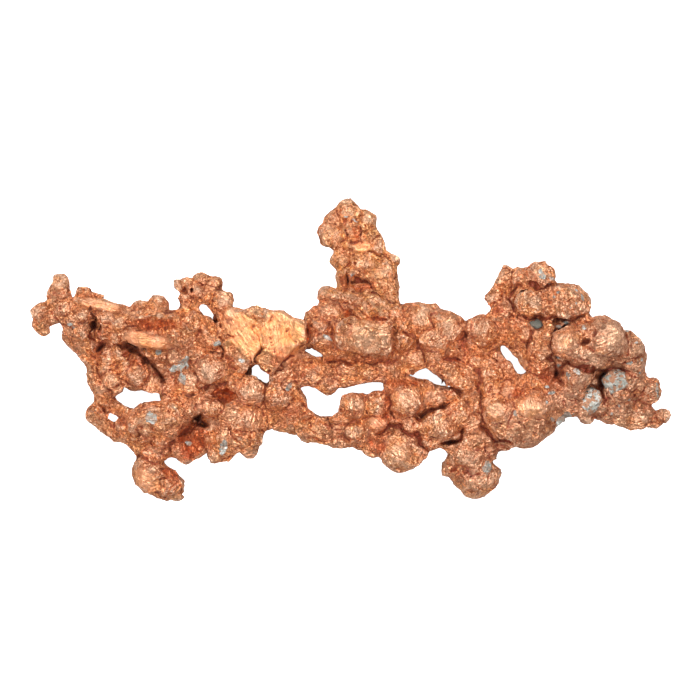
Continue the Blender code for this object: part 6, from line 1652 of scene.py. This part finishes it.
@dataclass(frozen=True)
class CopperFinish:
    """Bare native copper: satin and crumpled, pale where it is worn and with painted highlights on its ridges and tops,
    dark red-brown in its hollows as patina and painted shade, and near black there as painted shadow.
    """

    # bright is the pale of worn copper, and also the painted highlight on ridges, swellings and tops.
    bright: Colour = (0.95, 0.61, 0.41, 1.0)
    orange: Colour = (0.88, 0.40, 0.165, 1.0)
    golden: Colour = (0.90, 0.47, 0.18, 1.0)
    rosy: Colour = (0.80, 0.345, 0.165, 1.0)
    dull: Colour = (0.50, 0.25, 0.15, 1.0)
    # The next colour darkens the lines along the fine folds: partly a dull film on the copper, partly painted shade in
    # the folds.
    tarnish_and_shade: Colour = (0.42, 0.13, 0.05, 1.0)
    red: Colour = (0.62, 0.15, 0.05, 1.0)
    # The next two darken hollows, seams and cracks: a dark red-brown that is partly patina and partly painted shade,
    # and near black as painted shadow where the copper is most shut in.
    oxide_and_shade: Colour = (0.22, 0.035, 0.012, 1.0)
    painted_shadow: Colour = (0.03, 0.008, 0.004, 1.0)

    def material(self, crinkle: bpy.types.NodeTree, crust: bpy.types.NodeTree) -> bpy.types.Material:
        """The material.

        Args:
            crinkle: The group that crumples a surface.
            crust: The group that colours the mineral.

        Returns:
            The copper's material.
        """
        finish = bpy.data.materials.new("native_copper")
        finish.use_nodes = True
        bench = Bench(finish.node_tree)
        shader = finish.node_tree.nodes["Principled BSDF"]
        place = bench.add("ShaderNodeTexCoord").outputs["Object"]
        place = bench.add("ShaderNodeMapping", {"Vector": place, "Scale": (1000.0,) * 3}).outputs[0]
        coarse = bench.use(crinkle, {"Place": place, "Size": 1.0, "Bend": 2.0})
        fine = bench.use(crinkle, {"Place": place, "Size": 0.55, "Bend": 2.6})
        grain = bench.noise(place, 0.14, 3.0, 0.6, 0.6).outputs["Fac"]
        drift = bench.noise(place, 2.6, 3.0).outputs["Fac"]
        patchy = bench.noise(bench.vector("ADD", place, (3.0, 8.0, 1.0)).outputs[0], 1.1, 4.0, 0.6).outputs["Fac"]

        ridge = bench.ramp(bench.painted("ridge"), -0.06, 0.09)
        swell = bench.ramp(bench.painted("swell"), -0.15, 0.45)
        # worn holds real wear and painted highlights alike.
        worn = bench.painted("worn")
        hollow, nook = bench.painted("hollow"), bench.painted("nook")
        tone = bench.painted("tone")

        body = bench.blend(bench.ramp(drift, 0.4, 0.6), self.rosy, self.orange)
        body = bench.blend(bench.sum("MULTIPLY", bench.ramp(tone, 0.5, 0.95), bench.ramp(patchy, 0.35, 0.6)), body, self.golden)
        dulled = bench.sum("MULTIPLY", bench.ramp(tone, 0.5, 0.05), bench.ramp(patchy, 0.62, 0.4, 0.35, 1.0))
        body = bench.blend(dulled, body, self.dull)
        # Painted highlight: the pale colour goes on convex ridges and swellings, at random flats of the crumple, and on
        # the worn mask, which holds real wear and painted highlights alike.
        wear_and_painted_highlight = bench.sum("MULTIPLY", ridge, bench.ramp(coarse.outputs["Glint"], 0.2, 0.8, 0.25, 1.0))
        wear_and_painted_highlight = bench.sum("MAXIMUM", bench.sum("MULTIPLY", wear_and_painted_highlight, swell), bench.sum("MULTIPLY", worn, bench.ramp(patchy, 0.3, 0.6, 0.35, 1.0)))
        wear_and_painted_highlight = bench.sum("MULTIPLY", wear_and_painted_highlight, bench.ramp(bench.painted("calm"), 0.0, 1.0, 1.0, 0.6))
        body = bench.blend(wear_and_painted_highlight, body, self.bright)
        # Deeper red in the listed patches, most of them in hollows and creases: partly the copper's own red, partly
        # painted shade.
        reds_and_shade = bench.sum("MULTIPLY", bench.painted("red"), bench.ramp(patchy, 0.3, 0.6, 0.5, 1.0))
        body = bench.blend(reds_and_shade, body, self.red)
        # Painted shade, with patina: the copper darkens where it is shut in from the air (hollow and nook), where it
        # sinks below its neighbours, in the seams and along the cracks of the crumple.
        deep = bench.sum("MAXIMUM", bench.ramp(hollow, 0.5, 1.0, 0.0, 0.9), bench.ramp(nook, 0.4, 0.85, 0.0, 0.9))
        deep = bench.sum("MAXIMUM", deep, bench.ramp(bench.painted("ridge"), -0.03, -0.14, 0.0, 0.85))
        deep = bench.sum("MAXIMUM", deep, bench.ramp(bench.painted("seam"), 0.3, 0.75, 0.0, 0.95))
        cracks = bench.sum("MULTIPLY", coarse.outputs["Crack"], bench.ramp(patchy, 0.4, 0.6, 0.15, 0.9))
        cracks = bench.sum("MULTIPLY", cracks, bench.ramp(worn, 0.0, 1.0, 0.8, 0.35))
        cracks = bench.sum("MULTIPLY", cracks, bench.ramp(bench.painted("calm"), 0.0, 0.8, 1.0, 0.1))
        deep = bench.sum("MAXIMUM", deep, cracks)
        # Dark lines along the folds of the fine crumple: partly a dull film, partly painted shade in the folds.
        lines = bench.sum("MULTIPLY", fine.outputs["Crack"], bench.ramp(patchy, 0.66, 0.42, 0.05, 0.85))
        lines = bench.sum("MULTIPLY", lines, bench.ramp(bench.painted("calm"), 0.0, 0.8, 1.0, 0.25))
        body = bench.blend(lines, body, self.tarnish_and_shade)
        body = bench.blend(deep, body, self.oxide_and_shade)
        # Painted shadow: near black where a point is most shut in.
        body = bench.blend(bench.sum("MULTIPLY", bench.ramp(hollow, 0.75, 1.0), bench.ramp(nook, 0.5, 0.9)), body, self.painted_shadow)

        mineral = bench.painted("mineral")
        broken = bench.noise(place, 0.8, 5.0, 0.7, 0.5).outputs["Fac"]
        crusted = bench.ramp(bench.sum("MULTIPLY_ADD", broken, 2.2, mineral), 1.62, 1.74)
        crusted = bench.sum("MULTIPLY", crusted, bench.ramp(mineral, 0.02, 0.12))
        stone = bench.use(crust, {"Place": place, "Pale": 0.8, "Specks": 0.6})
        colour = bench.blend(crusted, body, stone.outputs["Color"])
        bench.tree.links.new(colour, shader.inputs["Base Color"])

        metal = bench.sum("SUBTRACT", 1.0, bench.sum("MULTIPLY", crusted, 1.0))
        metal = bench.sum("MULTIPLY", metal, bench.ramp(deep, 0.2, 1.0, 1.0, 0.35))
        bench.tree.links.new(metal, shader.inputs["Metallic"])
        rough = bench.ramp(wear_and_painted_highlight, 0.0, 1.0, 0.46, 0.52)
        rough = bench.sum("MULTIPLY_ADD", bench.painted("calm"), 0.12, rough)
        rough = bench.sum("ADD", rough, bench.sum("MULTIPLY", bench.sum("SUBTRACT", fine.outputs["Glint"], 0.5), 0.16))
        rough = bench.sum("MAXIMUM", rough, bench.sum("MULTIPLY", crusted, 0.85))
        bench.tree.links.new(rough, shader.inputs["Roughness"])

        smooth = bench.painted("calm")
        calm = bench.sum("MULTIPLY", bench.ramp(worn, 0.0, 1.0, 1.0, 0.55), bench.ramp(smooth, 0.0, 1.0, 1.0, 0.2))
        height = bench.sum("MULTIPLY", bench.sum("MULTIPLY", coarse.outputs["Height"], 0.85), calm)
        height = bench.sum("MULTIPLY_ADD", fine.outputs["Height"], bench.sum("MULTIPLY", bench.ramp(smooth, 0.0, 1.0, 0.6, 0.3), bench.ramp(worn, 0.0, 1.0, 1.0, 0.7)), height)
        height = bench.sum("MULTIPLY_ADD", cracks, -0.05, height)
        flow = bench.add("ShaderNodeAttribute", attribute_name="flow").outputs["Vector"]
        flow = bench.vector("MULTIPLY", flow, (0.6, 3.2, 1.4)).outputs[0]
        wrinkles = bench.ridges(flow, 1.25, 2.0, 0.8)
        height = bench.sum("MULTIPLY_ADD", wrinkles, bench.ramp(smooth, 0.0, 1.0, -0.14, -0.1), height)
        height = bench.sum("MULTIPLY_ADD", grain, 0.05, height)
        height = bench.sum("MULTIPLY_ADD", stone.outputs["Height"], crusted, height)
        bump = bench.add("ShaderNodeBump", {"Strength": 1.0, "Distance": MM, "Height": height})
        bench.tree.links.new(bump.outputs[0], shader.inputs["Normal"])
        return finish


@dataclass(frozen=True)
class RockFinish:
    """Matt grey-green host rock, darkened as a whole towards a shadow colour as painted shade."""

    roughness: float = 0.85
    shadow: Colour = (0.045, 0.045, 0.03, 1.0)

    def material(
        self, name: str, pale: float, specks: float, light: float, crinkle: bpy.types.NodeTree, crust: bpy.types.NodeTree
    ) -> bpy.types.Material:
        """The material of one bit of rock.

        Args:
            name: The material's name.
            pale: How much white is in the rock.
            specks: How many dark specks and rusty patches are in it.
            light: How much of the rock's own colour is kept: lower paints the whole rock darker towards the shadow
                colour, as painted shade.
            crinkle: The group that breaks a surface.
            crust: The group that colours the rock.

        Returns:
            The rock's material.
        """
        finish = bpy.data.materials.new(name)
        finish.use_nodes = True
        bench = Bench(finish.node_tree)
        shader = finish.node_tree.nodes["Principled BSDF"]
        place = bench.add("ShaderNodeTexCoord").outputs["Object"]
        place = bench.add("ShaderNodeMapping", {"Vector": place, "Scale": (1000.0,) * 3}).outputs[0]
        stone = bench.use(crust, {"Place": place, "Pale": pale, "Specks": specks})
        # Painted shade: the whole rock is mixed towards the shadow colour by light.
        bench.tree.links.new(bench.blend(light, self.shadow, stone.outputs["Color"]), shader.inputs["Base Color"])
        shader.inputs["Roughness"].default_value = self.roughness
        broken = bench.use(crinkle, {"Place": place, "Size": 0.6, "Bend": 0.5})
        height = bench.sum("MULTIPLY_ADD", broken.outputs["Height"], 0.8, stone.outputs["Height"])
        bump = bench.add("ShaderNodeBump", {"Strength": 1.0, "Distance": MM, "Height": height})
        bench.tree.links.new(bump.outputs[0], shader.inputs["Normal"])
        return finish


# --- The rock ---------------------------------------------------------------------------------------------


@dataclass
class HostRock:
    """One angular bit of host rock, held in the copper."""

    solid: bpy.types.Object
    name: str
    pale: float
    specks: float
    grain: float = 0.12

    def build(self) -> bpy.types.Object:
        """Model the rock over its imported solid.

        Returns:
            The rock's mesh object.
        """
        rock = merged_copy(self.solid, self.name)
        apply_modifier(rock, "BEVEL", width=0.12 * MM, segments=2, limit_method="ANGLE")
        apply_modifier(rock, "REMESH", mode="VOXEL", voxel_size=self.grain * MM)
        for pattern, size, height in (("CLOUDS", 0.8, 0.18), ("VORONOI", 0.5, 0.1)):
            texture = bpy.data.textures.new(self.name + pattern.lower(), pattern)
            texture.noise_scale = size * MM
            apply_modifier(rock, "DISPLACE", texture=texture, texture_coords="LOCAL", strength=height * MM, mid_level=0.5)
        pick_only(rock)
        bpy.ops.object.shade_smooth_by_angle(angle=math.radians(40))
        log.info("%s is %d faces", rock.name, len(rock.data.polygons))
        return rock


# --- The studio -------------------------------------------------------------------------------------------


@dataclass(frozen=True)
class Softbox:
    """A square light: where it stands, in metres from the nugget, its side and its power in watts."""

    name: str
    place: tuple[float, float, float]
    side: float
    power: float


@dataclass
class Studio:
    """The pale floor, the soft light round the nugget and the camera over it."""

    floor_side: float = 3.0
    floor_colour: Colour = (0.86, 0.86, 0.86, 1.0)
    floor_glow: float = 1.0
    floor_grey: float = 0.3  # how much of the light the floor gives back to the nugget
    sky: Colour = (1.0, 1.0, 1.0, 1.0)
    sky_strength: float = 0.3
    height: float = 2.5  # of the camera
    focus: float = 0.007  # height at which the view is as wide as view_width
    view_width: float = 0.0875
    softboxes: tuple[Softbox, ...] = (
        Softbox("over", (-0.08, 0.12, 0.9), 1.1, 24.2),
        Softbox("left", (-0.8, 0.5, 0.55), 0.35, 1.2),
        Softbox("back", (0.15, 0.9, 0.3), 0.4, 1.2),
    )

    def build(self) -> None:
        """Lay the floor, light it and set up the camera."""
        self._floor()
        self._lights()
        self._camera()

    def _floor(self) -> None:
        """A plain pale floor, level with what the nugget rests on."""
        bpy.ops.object.select_all(action="DESELECT")
        bpy.ops.mesh.primitive_plane_add(size=self.floor_side, location=(0.0, 0.0, 0.0))
        floor = bpy.context.object
        floor.name = "floor"
        finish = bpy.data.materials.new("pale_floor")
        finish.use_nodes = True
        bench = Bench(finish.node_tree)
        seen = bench.add("ShaderNodeLightPath").outputs["Is Camera Ray"]
        shader = finish.node_tree.nodes["Principled BSDF"]
        grey = (self.floor_grey, self.floor_grey, self.floor_grey, 1.0)
        finish.node_tree.links.new(bench.blend(seen, grey, self.floor_colour), shader.inputs["Base Color"])
        shader.inputs["Roughness"].default_value = 0.9
        shader.inputs["Specular IOR Level"].default_value = 0.1
        shader.inputs["Emission Color"].default_value = (1.0, 1.0, 1.0, 1.0)
        finish.node_tree.links.new(bench.sum("MULTIPLY", seen, self.floor_glow), shader.inputs["Emission Strength"])
        floor.data.materials.append(finish)

    def _lights(self) -> None:
        """An even pale sky and the softboxes."""
        world = bpy.data.worlds.new("soft_sky")
        world.use_nodes = True
        background = world.node_tree.nodes["Background"]
        background.inputs["Color"].default_value = self.sky
        background.inputs["Strength"].default_value = self.sky_strength
        bpy.context.scene.world = world
        for box in self.softboxes:
            place = Vector(box.place)
            bpy.ops.object.light_add(type="AREA", location=place, rotation=place.to_track_quat("Z", "Y").to_euler())
            light = bpy.context.object
            light.name = light.data.name = "softbox_" + box.name
            light.data.size = box.side
            light.data.energy = box.power
            light.visible_camera = False

    def _camera(self) -> None:
        """A long lens straight above the nugget."""
        x, y = -LAID_OUT_FROM.x * MM, -LAID_OUT_FROM.y * MM
        bpy.ops.object.camera_add(location=(x, y, self.height), rotation=(0.0, 0.0, 0.0))
        camera = bpy.context.object
        camera.data.sensor_width = 36.0
        camera.data.lens = 36.0 * (self.height - self.focus) / self.view_width
        camera.data.clip_start, camera.data.clip_end = 0.1, 10.0
        bpy.context.scene.camera = camera
        bpy.context.scene.view_settings.view_transform = "Standard"


# --- All together -----------------------------------------------------------------------------------------


def main() -> None:
    """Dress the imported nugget."""
    logging.basicConfig(level=logging.INFO, format="%(name)s: %(message)s")
    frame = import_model()
    nodes = frame["nodes"]

    crinkle, crust = crinkle_group(), CrustFinish().group()
    copper = CopperMass(nodes["nugget"]).build()
    copper.data.materials.append(CopperFinish().material(crinkle, crust))
    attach(copper, BODY)
    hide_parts("nugget")

    # The last number is how much each rock is kept from the painted shade of its shadow colour; the wedge, which lies
    # in shade under the copper, is darkest.
    for solid, pale, specks, light in (("rock_wedge", 0.0, 0.1, 0.35), ("rock_flank", 0.5, 1.0, 0.75), ("rock_chip", 0.8, 1.0, 0.8)):
        rock = HostRock(nodes[solid], solid + "_stone", pale, specks).build()
        rock.data.materials.append(RockFinish().material(solid + "_stone", pale, specks, light, crinkle, crust))
        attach(rock, BODY)
        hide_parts(solid)

    Studio().build()


if __name__ == "__main__":
    main()
